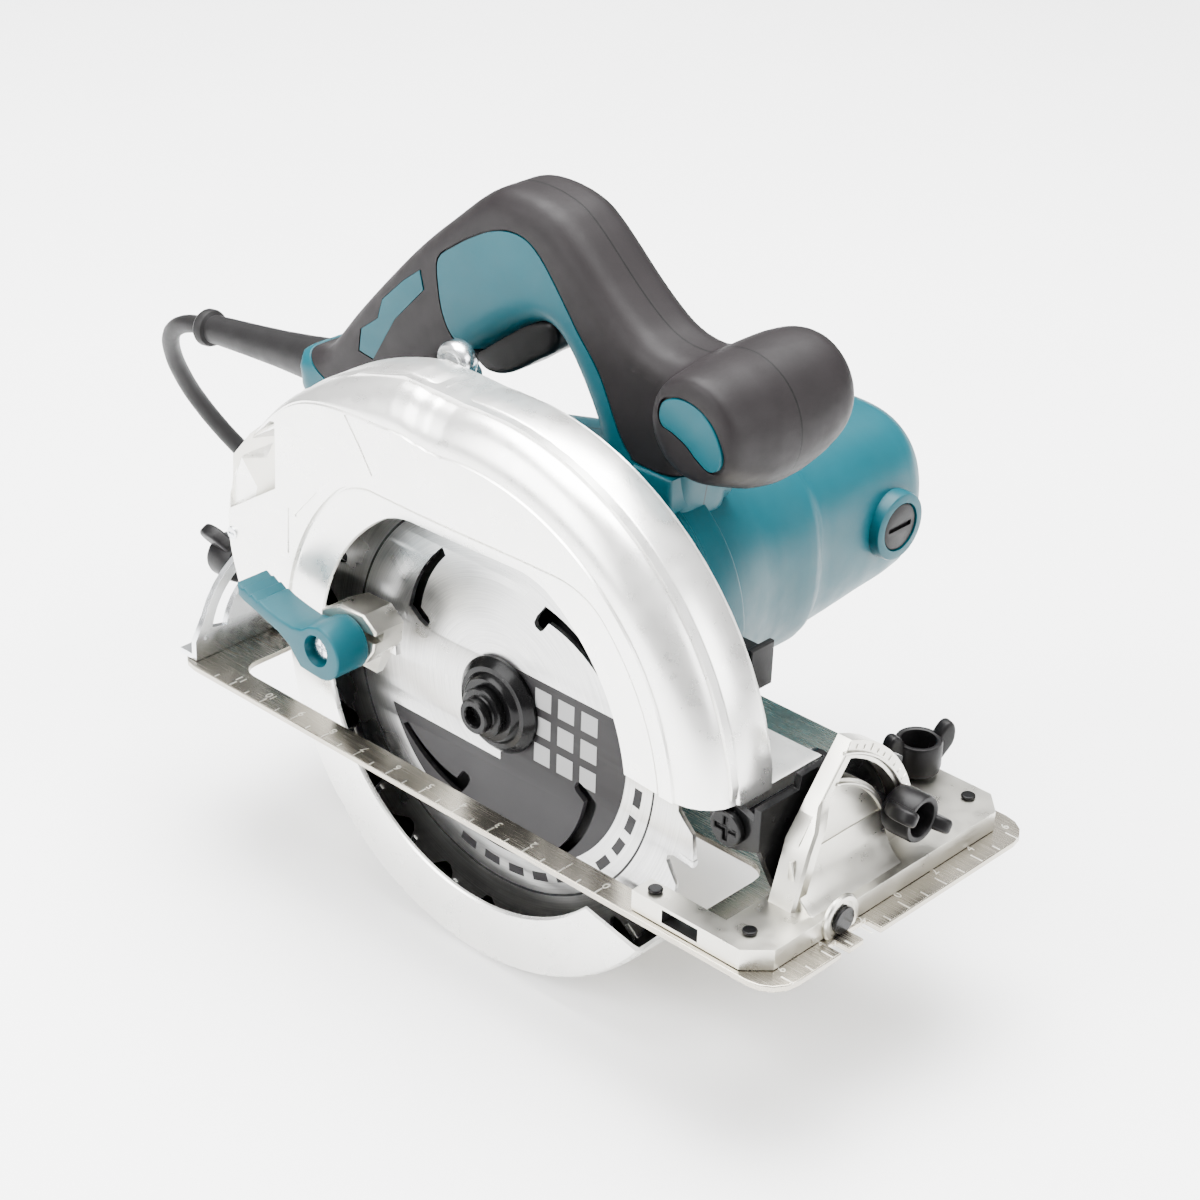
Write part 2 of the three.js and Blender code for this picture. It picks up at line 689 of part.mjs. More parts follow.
function retractingLever() {
  const outline = [
    [-94, 55.5], [-93, 50.5], [-82, 47], [-72, 44.5], [-66, 41.5], [-62.5, 36.5], [-55, 34.5], [-46, 36.5],
    [-40, 43], [-40.5, 50], [-45, 54], [-53, 53.5], [-60, 50], [-66, 49], [-82, 52.5],
  ];
  const body = plateXZ(outline, LEVER.from, LEVER.to);
  const counterbore = rodY(6, LEVER.from - THROUGH, LEVER.from + 6, LEVER.x, LEVER.z);
  return cut(body, counterbore, rodY(2.6, LEVER.from, LEVER.to + THROUGH, LEVER.x, LEVER.z, 16));
}

function leverScrew() {
  const head = rodY(4.6, LEVER.from + 3, LEVER.from + 5.7, LEVER.x, LEVER.z, 16);
  return join(head, rodY(2.3, LEVER.from + 5.6, -55, LEVER.x, LEVER.z, 16));
}

// ---------------------------------------------------------------- handle
const HANDLE_BACK = [
  [-157, 101], [-140, 107], [-124, 126], [-107, 146], [-90, 163], [-73, 178.5], [-57, 191.5],
  [-46, 195.5], [-34, 195], [-24, 192.5], [-15, 187.5], [-6, 180], [4, 171.5], [14, 164],
  [24, 159.5], [33, 159],
];
const HANDLE_FRONT = [[37, 150], [37, 96], [-20, 90], [-44, 74], [-62, 66], [-120, 70], [-157, 80]];
const FINGER_OPENING = [
  [-96, 106], [-82, 112], [-66, 126], [-44, 143], [-30, 152], [-22, 153], [-14, 148.5],
  [-6, 136], [0, 122], [1, 116.5], [-8, 114.5], [-40, 107], [-60, 98], [-86, 97],
];

// Space for the motor housing with a gap round it.
function motorRoom() {
  const grown = MOTOR_OUTSIDE.map(([radius, along]) => [radius + GAP, along]);
  return turned([[0, 152], ...grown, [0, CASE.back + GAP]], MOTOR.x, MOTOR.z, 60);
}

function frontGripRoom() {
  const { from, to, radius, x, z } = FRONT_GRIP;
  return rodY(radius + GAP, from - THROUGH, to + THROUGH, x, z, AROUND);
}

// The chain moved square to itself by a distance, to its right-hand side.
function moved(chain, distance) {
  return chain.map(([x, z], i) => {
    const [beforeX, beforeZ] = chain[Math.max(i - 1, 0)];
    const [afterX, afterZ] = chain[Math.min(i + 1, chain.length - 1)];
    const length = Math.hypot(afterX - beforeX, afterZ - beforeZ);
    return [x + (distance * (afterZ - beforeZ)) / length, z - (distance * (afterX - beforeX)) / length];
  });
}

const RUBBER = 3;
const TRIGGER_TRAVEL = { x: -3.2, z: 5.1 };
const TRIGGER = [
  [-64, 131], [-66, 125], [-58, 120.5], [-49, 124], [-36, 133.5], [-27, 141.5], [-30, 150],
  [-44, 146], [-56, 138],
];

function triggerSpace() {
  const grown = TRIGGER.map(([x, z]) => [x, z]);
  const shapes = [0, 0.35, 0.7, 1.15].map((share) =>
    plateXZ(
      grown.map(([x, z]) => [
        x + share * TRIGGER_TRAVEL.x + (x + 47) * 0.05,
        z + share * TRIGGER_TRAVEL.z + (z - 136) * 0.05,
      ]),
      HANDLE.middle - 9.6,
      HANDLE.middle + 9.6,
    ),
  );
  return join(...shapes);
}

const LOCK_OFF = { x: -76, z: 148 };
const HANDLE_SCREWS = [[-12, 168], [-75, 82]];

function handleShell(from, to) {
  const outline = [...moved(HANDLE_BACK, RUBBER + GAP), ...HANDLE_FRONT];
  const hand = plateXZ(outline, from, to, [FINGER_OPENING]);
  const pocketFrom = HANDLE.middle - HANDLE.half + HANDLE.wall;
  const pocketTo = HANDLE.middle + HANDLE.half - HANDLE.wall;
  const switchPocket = [[-100, 128], [-84, 118], [-42, 158], [-36, 184], [-52, 184], [-72, 170]];
  const leadPocket = [[-146, 84], [-110, 78], [-100, 92], [-104, 128], [-120, 114], [-146, 96]];
  return cut(
    hand,
    motorRoom(),
    frontGripRoom(),
    plateXZ(switchPocket, pocketFrom, pocketTo),
    plateXZ(leadPocket, pocketFrom, pocketTo),
    triggerSpace(),
    rodY(5.6, HANDLE.middle, to + THROUGH, LOCK_OFF.x, LOCK_OFF.z),
    rodX(4.4, -158, -140, HANDLE.middle, 90.8),
    ...HANDLE_SCREWS.map(([x, z]) => rodY(2.2, 10, 40, x, z, 16)),
    ...HANDLE_SCREWS.map(([x, z]) => rodY(3.8, 35.5, 40, x, z, 16)),
  );
}

function handleScrew([x, z]) {
  const head = rodY(3.5, 35.8, 38.3, x, z, 16);
  return join(head, rodY(1.9, 11, 36, x, z, 16));
}

function lockOffButton() {
  const side = HANDLE.middle + HANDLE.half;
  return join(
    rodY(5.2, side - 9, side + 3, LOCK_OFF.x, LOCK_OFF.z, 16),
    rodY(6.6, side - 9, side - 7, LOCK_OFF.x, LOCK_OFF.z, 16),
  );
}

function gripOvermould() {
  const band = [...HANDLE_BACK, ...moved(HANDLE_BACK, RUBBER).reverse()];
  const strap = plateXZ(band, HANDLE.middle - HANDLE.half, HANDLE.middle + HANDLE.half);
  return cut(strap, frontGripRoom());
}

function frontGrip() {
  const { radius, from, to, x, z } = FRONT_GRIP;
  const profile = [
    [0, from], [radius - 9, from], [radius - 5, from + 3], [radius - 3, from + 9],
    [radius, from + 26], [radius, to - 16], [radius - 2.5, to - 6], [radius - 8, to], [0, to],
  ];
  return turned(profile, x, z, 36);
}

function triggerSwitch() {
  const body = new THREE.BoxGeometry(26, 14, 14).rotateY(radians(-40));
  return body.translate(-64, HANDLE.middle - 4, 160);
}

// ---------------------------------------------------------------- lead
// Sleeve from the back of the handle: it tapers, and ends in a flared ring.
const SLEEVE = { x: -157, z: 90.8, length: 71, droop: 6.5 };

function cordGuard() {
  const profile = [
    [0, 0], [7.2, 0], [6.9, 8], [5.6, SLEEVE.length - 5], [7, SLEEVE.length - 4.4],
    [7, SLEEVE.length - 0.6], [5.2, SLEEVE.length], [0, SLEEVE.length],
  ];
  const upright = turned(profile, 0, 0, 20);
  return upright
    .rotateZ(Math.PI / 2)
    .rotateY(-radians(SLEEVE.droop))
    .translate(SLEEVE.x - 1.2, HANDLE.middle, SLEEVE.z);
}

// Out of the sleeve, down in a hanging bend, and along the floor to the coil.
const CORD_ROUTE = [
  [-229.1, 21, 82.6],
  [-237.5, 21, 81.2],
  [-245.5, 21.6, 78],
  [-252.3, 22.9, 73.2],
  [-257.6, 25.4, 67],
  [-262, 29.4, 58.8],
  [-265, 35, 48],
  [-266, 43.5, 33],
  [-262.5, 54.5, 15],
  [-254.5, 67, -4],
  [-243.5, 80, -24],
  [-230, 93, -42.5],
  [-214, 107.5, -57],
  [-197, 123, -64.7],
  [-180, 138, -66.2],
];

function cordTube(points) {
  const path = new THREE.CatmullRomCurve3(points.map((point) => new THREE.Vector3(...point)), false);
  const section = new THREE.Shape(
    arc(0, 0, CORD_RADIUS, 0, 315, 7).map(([a, b]) => new THREE.Vector2(a, b)),
  );
  const steps = Math.ceil(path.getLength() / 18);
  return new THREE.ExtrudeGeometry(section, { steps, bevelEnabled: false, extrudePath: path });
}

function cordCoil() {
  const half = COIL.turnsAcross * CORD_RADIUS;
  const height = COIL.layers * 2 * CORD_RADIUS;
  const profile = [
    [COIL.middleRadius - half, 0], [COIL.middleRadius + half, 0], [COIL.middleRadius + half, height],
    [COIL.middleRadius - half, height], [COIL.middleRadius - half, 0],
  ];
  return turned(profile, 0, 0, 36).rotateX(Math.PI / 2).translate(COIL.x, COIL.y, FLOOR);
}

function shaftLock() {
  const { y, z, from, to } = SHAFT_LOCK;
  const pin = rodX(3, MOTOR.x + 48.5, from + 1, y, z, 16);
  return join(box([from, y - 3, z - 8], [to, y + 3, z + 8]), pin);
}

// ---------------------------------------------------------------- small turned parts
const BEARINGS = {
  bearing_spindle_front: { inner: 8.3, outer: 13.75, from: -30.5, to: -22, at: BLADE },
  bearing_spindle_rear: { inner: 5.1, outer: 7.75, from: -9.6, to: -4.8, at: BLADE },
  bearing_armature_front: { inner: 5.3, outer: 9.25, from: -8.3, to: -1.3, at: MOTOR },
  bearing_armature_rear: { inner: 5.3, outer: 10.75, from: 140.3, to: 147, at: MOTOR },
};

function depthPivotPin() {
  const { x, z } = DEPTH;
  const headFrom = BRACKET.nearEar - 3;
  const head = rodY(6.6, headFrom, BRACKET.nearEar - GAP, x, z);
  const cross = [[9, 1.8], [1.8, 9]].map(([across, up]) =>
    new THREE.BoxGeometry(across, 3, up).translate(x, headFrom, z),
  );
  const farEnd = rodY(6, BRACKET.farEar + BRACKET.sheet + GAP, BRACKET.farEar + 6, x, z);
  return cut(join(head, rodY(3.9, headFrom + 1, BRACKET.farEar + 5, x, z), farEnd), ...cross);
}

function depthClampBolt() {
  const [x, z] = polar(DEPTH.x, DEPTH.z, DEPTH.guideRadius, 180 - DEPTH.boltAngle);
  return join(
    rodY(3.8, -24, -4, x, z, 16),
    rodY(6.5, DEPTH.guideTo + GAP, DEPTH.guideTo + 1.8, x, z),
  );
}

function depthLever() {
  const [x, z] = polar(DEPTH.x, DEPTH.z, DEPTH.guideRadius, 180 - DEPTH.boltAngle);
  const outline = [
    ...arc(x, z, 9, -60, 120, 8),
    [x - 14, z + 6.5],
    [x - 42, z + 8],
    [x - 44, z - 1],
    [x - 16, z - 6],
  ];
  const body = plateXZ(outline, DEPTH.guideTo + 2.1, -3);
  return cut(body, rodY(4.1, DEPTH.guideTo, -2, x, z, 16));
}

// Coil inside the grip of the case and drum: round the collar behind the blade.
function guardSpring() {
  return ringY(22.4, 25.6, -34.2, -30.2, BLADE.x, BLADE.z, 36);
}

// Lies on the coil, in line with the lead's last turn.
function plug() {
  const body = plateXY([[0, -8], [31, -12], [31, 12], [0, 8]], -8, 8);
  const pins = [-9.5, 9.5].map((side) => rodX(2.3, 30.9, 50, side, 0, 12));
  return join(body, ...pins).rotateZ(radians(138)).translate(...PLUG_TAIL);
}

// ---------------------------------------------------------------- the saw
// fixed to the shoe
add('shoe_plate', shoePlate(), LOOK.shoeSteel);
add('front_casting', frontCasting(), LOOK.casting);
add('rear_bevel_plate', rearBevelPlate(), LOOK.zinc);
for (const [name, place] of Object.entries(RIVETS)) add(name, rivet(place), LOOK.blackSteel);
add('rule_wing_bolt', ruleWingBolt(), LOOK.blackPlastic);

// tilts with the bevel
const frontBolt = polar(BEVEL.y, BEVEL.z, BEVEL.slotRadius, BEVEL.boltAngle);
const rearBolt = polar(BEVEL.y, BEVEL.z, BEVEL.rearSlotRadius, BEVEL.rearBoltAngle);
add('front_bracket', frontBracket(), LOOK.blackSteel);
add('depth_guide', depthGuide(), LOOK.zinc);
add('bevel_pin_front', bevelPin(119.5, 147, CASTING.front + GAP), LOOK.zinc);
add('bevel_pin_rear', bevelPin(-137, -128, -137.8), LOOK.zinc);
add('bevel_wing_bolt_front', wingBolt(132.4, 1, ...frontBolt, 13.5, -30), LOOK.blackPlastic);
add('bevel_wing_bolt_rear', wingBolt(-135.4, -1, ...rearBolt, 7.5, 60), LOOK.blackPlastic);

// the saw body
add('depth_pivot_pin', depthPivotPin(), LOOK.blackSteel);
add('blade_case', bladeCase(), LOOK.casting);
add('gear_housing', gearHousing(), LOOK.casting);
add('motor_housing', motorHousing(), LOOK.tealPlastic);
add('stator', ringY(27.5, 37.6, 32, 76, MOTOR.x, MOTOR.z), LOOK.laminations);
for (const [name, side] of [['front', 1], ['rear', -1]]) {
  add(`brush_holder_${name}`, brushHolder(side), LOOK.brass);
  add(`brush_${name}`, brush(side), LOOK.carbon);
  add(`brush_cap_${name}`, brushCap(side), LOOK.blackPlastic);
}
for (const [name, { inner, outer, from, to, at }] of Object.entries(BEARINGS)) {
  add(name, ringY(inner, outer, from, to, at.x, at.z, 30), LOOK.shaftSteel);
}
add('handle_shell_left', handleShell(HANDLE.middle - HANDLE.half, HANDLE.middle - GAP / 2), LOOK.tealPlastic);
add('handle_shell_right', handleShell(HANDLE.middle + GAP / 2, HANDLE.middle + HANDLE.half), LOOK.tealPlastic);
HANDLE_SCREWS.forEach((place, i) => add(`handle_screw_${i + 1}`, handleScrew(place), LOOK.blackSteel));
add('grip_overmould', gripOvermould(), LOOK.rubber);
add('front_grip', frontGrip(), LOOK.rubber);
add('trigger_switch', triggerSwitch(), LOOK.blackPlastic);
add('guard_spring', guardSpring(), LOOK.shaftSteel);
add('cord_guard', cordGuard(), LOOK.rubber);
add('power_cord', cordTube(CORD_ROUTE), LOOK.cord);
add('cord_coil', cordCoil(), LOOK.cord);
add('plug', plug(), LOOK.cord);

// pressed or turned by hand
add('depth_clamp_bolt', depthClampBolt(), LOOK.zinc);
add('depth_lever', depthLever(), LOOK.blackPlastic);
add('trigger', plateXZ(TRIGGER, HANDLE.middle - 9, HANDLE.middle + 9), LOOK.blackPlastic);
add('lock_off_button', lockOffButton(), LOOK.blackPlastic);
add('shaft_lock', shaftLock(), LOOK.blackPlastic);

// turns with the blade
add('spindle', spindle(), LOOK.shaftSteel);
add('drive_wheel', driveWheel(), LOOK.shaftSteel);
add('inner_flange', innerFlange(), LOOK.blackSteel);
add('blade', blade(), LOOK.bladeSteel);
add('outer_flange', outerFlange(), LOOK.blackSteel);
add('blade_bolt', bladeBolt(), LOOK.blackSteel);

// turns with the motor
add('armature_shaft', armatureShaft(), LOOK.shaftSteel);
add('armature_core', ringY(5.3, 26, 34, 74, MOTOR.x, MOTOR.z), LOOK.laminations);
add('commutator', ringY(5.3, 12, 117, 138, MOTOR.x, MOTOR.z, 24), LOOK.copper);
add('cooling_fan', fan(), LOOK.blackPlastic);

// swings round the blade
add('lower_guard', lowerGuard(), LOOK.casting);
add('retracting_lever', retractingLever(), LOOK.tealPlastic);
add('lever_screw', leverScrew(), LOOK.blackSteel);

export default saw;
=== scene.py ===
"""Looks of a hand-held circular saw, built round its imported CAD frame.

Lengths are in millimetres in the helper functions and become metres when a mesh is made.
X runs forwards along the cut, Y from the blade side to the motor side, Z up.
"""

import json
import math

import bmesh
import bpy
from mathutils import Matrix, Vector


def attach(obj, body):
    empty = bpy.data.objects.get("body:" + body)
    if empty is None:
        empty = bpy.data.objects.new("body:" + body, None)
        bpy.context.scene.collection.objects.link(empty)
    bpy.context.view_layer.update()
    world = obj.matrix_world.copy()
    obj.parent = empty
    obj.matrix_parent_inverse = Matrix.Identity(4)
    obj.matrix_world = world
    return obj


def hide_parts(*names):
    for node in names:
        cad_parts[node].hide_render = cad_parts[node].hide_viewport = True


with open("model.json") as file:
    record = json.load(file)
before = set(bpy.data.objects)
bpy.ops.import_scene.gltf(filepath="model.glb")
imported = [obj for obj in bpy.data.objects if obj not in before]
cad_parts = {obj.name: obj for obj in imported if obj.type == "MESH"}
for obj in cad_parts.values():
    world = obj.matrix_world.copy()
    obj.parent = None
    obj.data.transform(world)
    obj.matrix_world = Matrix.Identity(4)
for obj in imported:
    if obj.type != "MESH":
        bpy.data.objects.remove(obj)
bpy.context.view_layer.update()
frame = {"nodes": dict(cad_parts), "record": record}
scene = bpy.context.scene
MM = 0.001

BLADE_Z = 30
MOTOR = (4, 58.3)
BLADE_AXIS = (0, BLADE_Z)
HANDLE_MIDDLE = 21
HANDLE_HALF = 17
SEAM_HALF = 0.35
FLOOR = -70
SHOE_TOP = 2.5
BEVEL_PIVOT = (-27, 7.5)
BRUSH_Y = 127
BRUSH_REACH = 41
LEVER_SCREW = (-52, 45)


# ---- points and meshes
def polar(centre, radius, degrees):
    turn = math.radians(degrees)
    return centre[0] + radius * math.cos(turn), centre[1] + radius * math.sin(turn)


def arc(centre, radius, start, end, steps):
    return [polar(centre, radius, start + (end - start) * i / steps) for i in range(steps + 1)]


def catmull(points, per_span=8, closed=False):
    """Points along a smooth curve through the given ones."""
    chain = [Vector(point) for point in points]
    count = len(chain)
    spans = count if closed else count - 1

    def pick(i):
        return chain[i % count] if closed else chain[min(max(i, 0), count - 1)]

    result = []
    for i in range(spans):
        a, b, c, d = (pick(i + k) for k in (-1, 0, 1, 2))
        for step in range(per_span):
            t = step / per_span
            linear = (c - a) * t
            square = (2 * a - 5 * b + 4 * c - d) * t * t
            cube = (3 * b - a - 3 * c + d) * t * t * t
            result.append(tuple(b + (linear + square + cube) / 2))
    if not closed:
        result.append(tuple(chain[-1]))
    return result


def moved_sideways(chain, distance):
    """The chain moved square to itself, to its right-hand side."""
    result = []
    for i, (x, z) in enumerate(chain):
        x0, z0 = chain[max(i - 1, 0)]
        x1, z1 = chain[min(i + 1, len(chain) - 1)]
        length = math.hypot(x1 - x0, z1 - z0)
        result.append((x + distance * (z1 - z0) / length, z - distance * (x1 - x0) / length))
    return result


def cleaned(mesh, distance):
    """The mesh with close vertices merged and its faces pointing out."""
    tidy = bmesh.new()
    tidy.from_mesh(mesh)
    bmesh.ops.remove_doubles(tidy, verts=tidy.verts, dist=distance)
    bmesh.ops.recalc_face_normals(tidy, faces=tidy.faces)
    tidy.to_mesh(mesh)
    tidy.free()
    return mesh


def mesh_from(name, vertices, faces):
    mesh = bpy.data.meshes.new(name)
    mesh.from_pydata([Vector(vertex) * MM for vertex in vertices], [], faces)
    mesh.validate()
    return cleaned(mesh, 1e-6)


def loft(name, sections):
    """Skin over sections of equal point counts, each closed on itself, with capped ends."""
    count = len(sections[0])
    vertices = [point for section in sections for point in section]
    last = (len(sections) - 1) * count
    faces = []
    for here in range(0, last, count):
        there = here + count
        for k in range(count):
            next_k = (k + 1) % count
            faces.append((here + k, here + next_k, there + next_k, there + k))
    faces.append(tuple(range(count)))
    faces.append(tuple(range(last, last + count)))
    return mesh_from(name, vertices, faces)


def lathe(name, profile, centre, steps=96):
    """Turns (radius, y) pairs round a Y axis; a pair's third value above 2 flattens the sides."""
    sections = []
    for radius, y, *flatness in profile:
        power = flatness[0] if flatness else 2.0
        section = []
        for i in range(steps):
            turn = 2 * math.pi * i / steps
            c, s = math.cos(turn), math.sin(turn)
            reach = max(radius, 0.02) * (abs(c) ** power + abs(s) ** power) ** (-1 / power)
            section.append((centre[0] + reach * c, y, centre[1] + reach * s))
        sections.append(section)
    return loft(name, sections)


def linked(name, data):
    """A new object in the scene."""
    obj = bpy.data.objects.new(name, data)
    scene.collection.objects.link(obj)
    return obj


def evaluated(holder, name):
    """The mesh of an object once its curve or modifiers have been worked out."""
    bpy.context.view_layer.update()
    depsgraph = bpy.context.evaluated_depsgraph_get()
    mesh = bpy.data.meshes.new_from_object(holder.evaluated_get(depsgraph))
    mesh.name = name
    return mesh


def curve_solid(name, outline, half, bevel, holes=(), segments=4):
    """Mesh of a flat outline with rounded edges, lying in XY and centred on z = 0."""
    curve = bpy.data.curves.new(name, "CURVE")
    curve.dimensions = "2D"
    curve.fill_mode = "BOTH"
    curve.extrude = (half - bevel) * MM
    curve.bevel_depth = bevel * MM
    curve.bevel_resolution = segments
    curve.offset = -bevel * MM
    for index, loop in enumerate([outline, *holes]):
        area = sum(a[0] * b[1] - b[0] * a[1] for a, b in zip(loop, [*loop[1:], loop[0]]))
        wanted = area > 0 if index == 0 else area < 0
        ordered = loop if wanted else loop[::-1]
        spline = curve.splines.new("POLY")
        spline.points.add(len(ordered) - 1)
        for point, (u, v) in zip(spline.points, ordered):
            point.co = (u * MM, v * MM, 0, 1)
        spline.use_cyclic_u = True
    holder = linked(name + "_outline", curve)
    mesh = evaluated(holder, name)
    bpy.data.objects.remove(holder)
    bpy.data.curves.remove(curve)
    return cleaned(mesh, 2e-6)


PLANES = {
    "xy": Matrix.Identity(4),
    "xz": Matrix(((1, 0, 0, 0), (0, 0, -1, 0), (0, 1, 0, 0), (0, 0, 0, 1))),
    "yz": Matrix(((0, 0, 1, 0), (1, 0, 0, 0), (0, 1, 0, 0), (0, 0, 0, 1))),
}
SQUARE_TO = {"xy": (0, 0, 1), "xz": (0, 1, 0), "yz": (1, 0, 0)}


def plate(name, plane, outline, span, bevel=0.6, holes=(), segments=4):
    """A flat solid between two planes: span is its reach along the axis square to it."""
    mesh = curve_solid(name, outline, abs(span[1] - span[0]) / 2, bevel, holes, segments)
    middle = Vector(SQUARE_TO[plane]) * (span[0] + span[1]) / 2 * MM
    mesh.transform(Matrix.Translation(middle) @ PLANES[plane])
    return mesh


def joined(name, *meshes):
    whole = bmesh.new()
    for mesh in meshes:
        whole.from_mesh(mesh)
    result = bpy.data.meshes.new(name)
    whole.to_mesh(result)
    whole.free()
    return result


def box(low, high):
    across, along, up = zip(low, high)
    corners = [(x, y, z) for x in across for y in along for z in up]
    faces = [(0, 1, 3, 2), (4, 6, 7, 5), (0, 4, 5, 1), (2, 3, 7, 6), (0, 2, 6, 4), (1, 5, 7, 3)]
    return mesh_from("box", corners, faces)


def prism(name, outline, span=(-40, 80)):
    """A plain tool with an outline in XZ."""
    count = len(outline)
    vertices = [(x, span[0], z) for x, z in outline] + [(x, span[1], z) for x, z in outline]
    faces = [tuple(range(count)), tuple(range(count, 2 * count))]
    faces += [(i, (i + 1) % count, count + (i + 1) % count, count + i) for i in range(count)]
    return mesh_from(name, vertices, faces)


def rod(radius, start, end, steps=40, rounding=0.6):
    """A bar with softened ends between two points."""
    a, b = Vector(start), Vector(end)
    length = (b - a).length
    profile = [(radius - rounding, 0), (radius - rounding * 0.3, rounding * 0.3), (radius, rounding)]
    profile += [(radius, length - rounding), (radius - rounding * 0.3, length - rounding * 0.3)]
    profile += [(radius - rounding, length)]
    return turned_to(lathe("rod", profile, (0, 0), steps), b - a, a)


def applied(name, mesh, *modifiers):
    """The mesh after modifiers, each a (type, settings) pair."""
    holder = linked(name, mesh)
    helpers = []
    for kind, settings in modifiers:
        modifier = holder.modifiers.new(kind.title(), kind)
        for key, value in settings.items():
            if key == "with_mesh":
                modifier.object = linked(name + "_cutter", value)
                helpers.append(modifier.object)
            else:
                setattr(modifier, key, value)
    result = evaluated(holder, name)
    for helper in [holder, *helpers]:
        bpy.data.objects.remove(helper)
    return result


def boolean(operation, other):
    return "BOOLEAN", {"operation": operation, "solver": "EXACT", "with_mesh": other}


def cut(mesh, *cutters):
    return applied(mesh.name, mesh, *[boolean("DIFFERENCE", cutter) for cutter in cutters])


def common(mesh, other):
    return applied(mesh.name, mesh, boolean("INTERSECT", other))


def darkened(obj, in_shade):
    """Gives painted shade, the near-black casting, to each face that the test picks out."""
    obj.data.materials.append(LOOKS["casting_painted_shade"])
    for polygon in obj.data.polygons:
        if in_shade(polygon):
            polygon.material_index = 1


def turned_to(mesh, axis, place):
    """Moves a mesh that stands on the Y axis to stand on another axis at a place."""
    turn = Vector((0, 1, 0)).rotation_difference(Vector(axis)).to_matrix().to_4x4()
    mesh.transform(Matrix.Translation(Vector(place) * MM) @ turn)
    return mesh


def piece(name, mesh, look, body, replaces=(), sharp=35, bevel=0.0, segments=2):
    """Puts a finished mesh in the scene with its material, smoothing, bevel and body."""
    mesh.materials.clear()
    mesh.materials.append(LOOKS[look])
    for polygon in mesh.polygons:
        polygon.use_smooth = True
    mesh.set_sharp_from_angle(angle=math.radians(sharp))
    obj = linked(name, mesh)
    if bevel:
        modifier = obj.modifiers.new("Softened edges", "BEVEL")
        modifier.width = bevel * MM
        modifier.segments = segments
        modifier.limit_method = "ANGLE"
        modifier.angle_limit = math.radians(32)
        modifier.harden_normals = True
    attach(obj, body)
    if replaces:
        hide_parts(*replaces)
    return obj


def node_mesh(node):
    """A clean copy of a CAD node's mesh, with flat faces whole again."""
    source = frame["nodes"][node]
    mesh = source.data.copy()
    mesh.transform(source.matrix_world)
    tidy = bmesh.new()
    tidy.from_mesh(mesh)
    bmesh.ops.remove_doubles(tidy, verts=tidy.verts, dist=2e-6)
    bmesh.ops.dissolve_limit(tidy, angle_limit=math.radians(1.5), verts=tidy.verts, edges=tidy.edges)
    tidy.to_mesh(mesh)
    tidy.free()
    return mesh


def refined(node, look, bevel=0.5, segments=2, sharp=35):
    """A CAD node again, with its hard edges rounded and its own material."""
    body = next(name for name, nodes in BODY_NODES.items() if node in nodes)
    mesh = node_mesh(node)
    return piece(node + "_look", mesh, look, body, (node,), sharp, bevel, segments)


BODY_NODES = frame["record"]["behaviour"]["bodies"]


# ---- materials
def node_tree(name):
    material = bpy.data.materials.new(name)
    material.use_nodes = True
    tree = material.node_tree
    shader = tree.nodes["Principled BSDF"]
    return material, tree, shader


def new_node(tree, kind, values=()):
    """A shader node with some of its inputs set."""
    node = tree.nodes.new("ShaderNode" + kind)
    for socket, value in dict(values).items():
        node.inputs[socket].default_value = value
    return node


def axes_of(tree, kind="Object"):
    """The X, Y and Z sockets of one of Blender's texture coordinates."""
    coordinates = new_node(tree, "TexCoord")
    split = new_node(tree, "SeparateXYZ")
    tree.links.new(coordinates.outputs[kind], split.inputs[0])
    return split.outputs


def object_position(tree, stretch=(1, 1, 1)):
    coordinates = new_node(tree, "TexCoord")
    mapping = new_node(tree, "Mapping", {"Scale": stretch})
    tree.links.new(coordinates.outputs["Object"], mapping.inputs["Vector"])
    return mapping.outputs["Vector"]


def noise(tree, vector, scale, detail=3.0, roughness=0.55):
    texture = new_node(tree, "TexNoise", {"Scale": scale, "Detail": detail, "Roughness": roughness})
    tree.links.new(vector, texture.inputs["Vector"])
    return texture.outputs["Fac"]


def math_node(tree, operation, first, second=None, clamp=False):
    node = new_node(tree, "Math")
    node.operation = operation
    node.use_clamp = clamp
    for socket, value in zip(node.inputs, (first, second)):
        if value is None:
            continue
        if isinstance(value, (int, float)):
            socket.default_value = value
        else:
            tree.links.new(value, socket)
    return node.outputs[0]


def product(tree, first, second):
    return math_node(tree, "MULTIPLY", first, second)


def within(tree, value, low, high):
    """1 where a value lies between two limits and 0 elsewhere."""
    above = math_node(tree, "GREATER_THAN", value, low)
    return product(tree, above, math_node(tree, "LESS_THAN", value, high))


def painted(tree, under, factor, colour):
    """The colour where the factor is 1, and what was under it where the factor is 0."""
    mix = new_node(tree, "Mix")
    mix.data_type = "RGBA"
    mix.inputs[7].default_value = (*colour, 1)
    tree.links.new(factor, mix.inputs[0])
    tree.links.new(under, mix.inputs[6])
    return mix.outputs[2]


def ramp(tree, factor, stops):
    node = new_node(tree, "ValToRGB")
    elements = node.color_ramp.elements
    while len(elements) < len(stops):
        elements.new(0.5)
    for element, (place, colour) in zip(elements, stops):
        element.position = place
        element.color = (*colour, 1)
    tree.links.new(factor, node.inputs["Fac"])
    return node.outputs["Color"]


def spread(tree, factor, low, high):
    limits = {"From Min": 0.3, "From Max": 0.7, "To Min": low, "To Max": high}
    node = new_node(tree, "MapRange", limits)
    tree.links.new(factor, node.inputs["Value"])
    return node.outputs["Result"]


def bump(tree, shader, height, distance, strength=1.0, under=None):
    node = new_node(tree, "Bump", {"Strength": strength, "Distance": distance * MM})
    tree.links.new(height, node.inputs["Height"])
    if under is not None:
        tree.links.new(under, node.inputs["Normal"])
    tree.links.new(node.outputs["Normal"], shader.inputs["Normal"])
    return node.outputs["Normal"]


def shade(colour, share):
    return tuple(min(1.0, channel * share) for channel in colour)


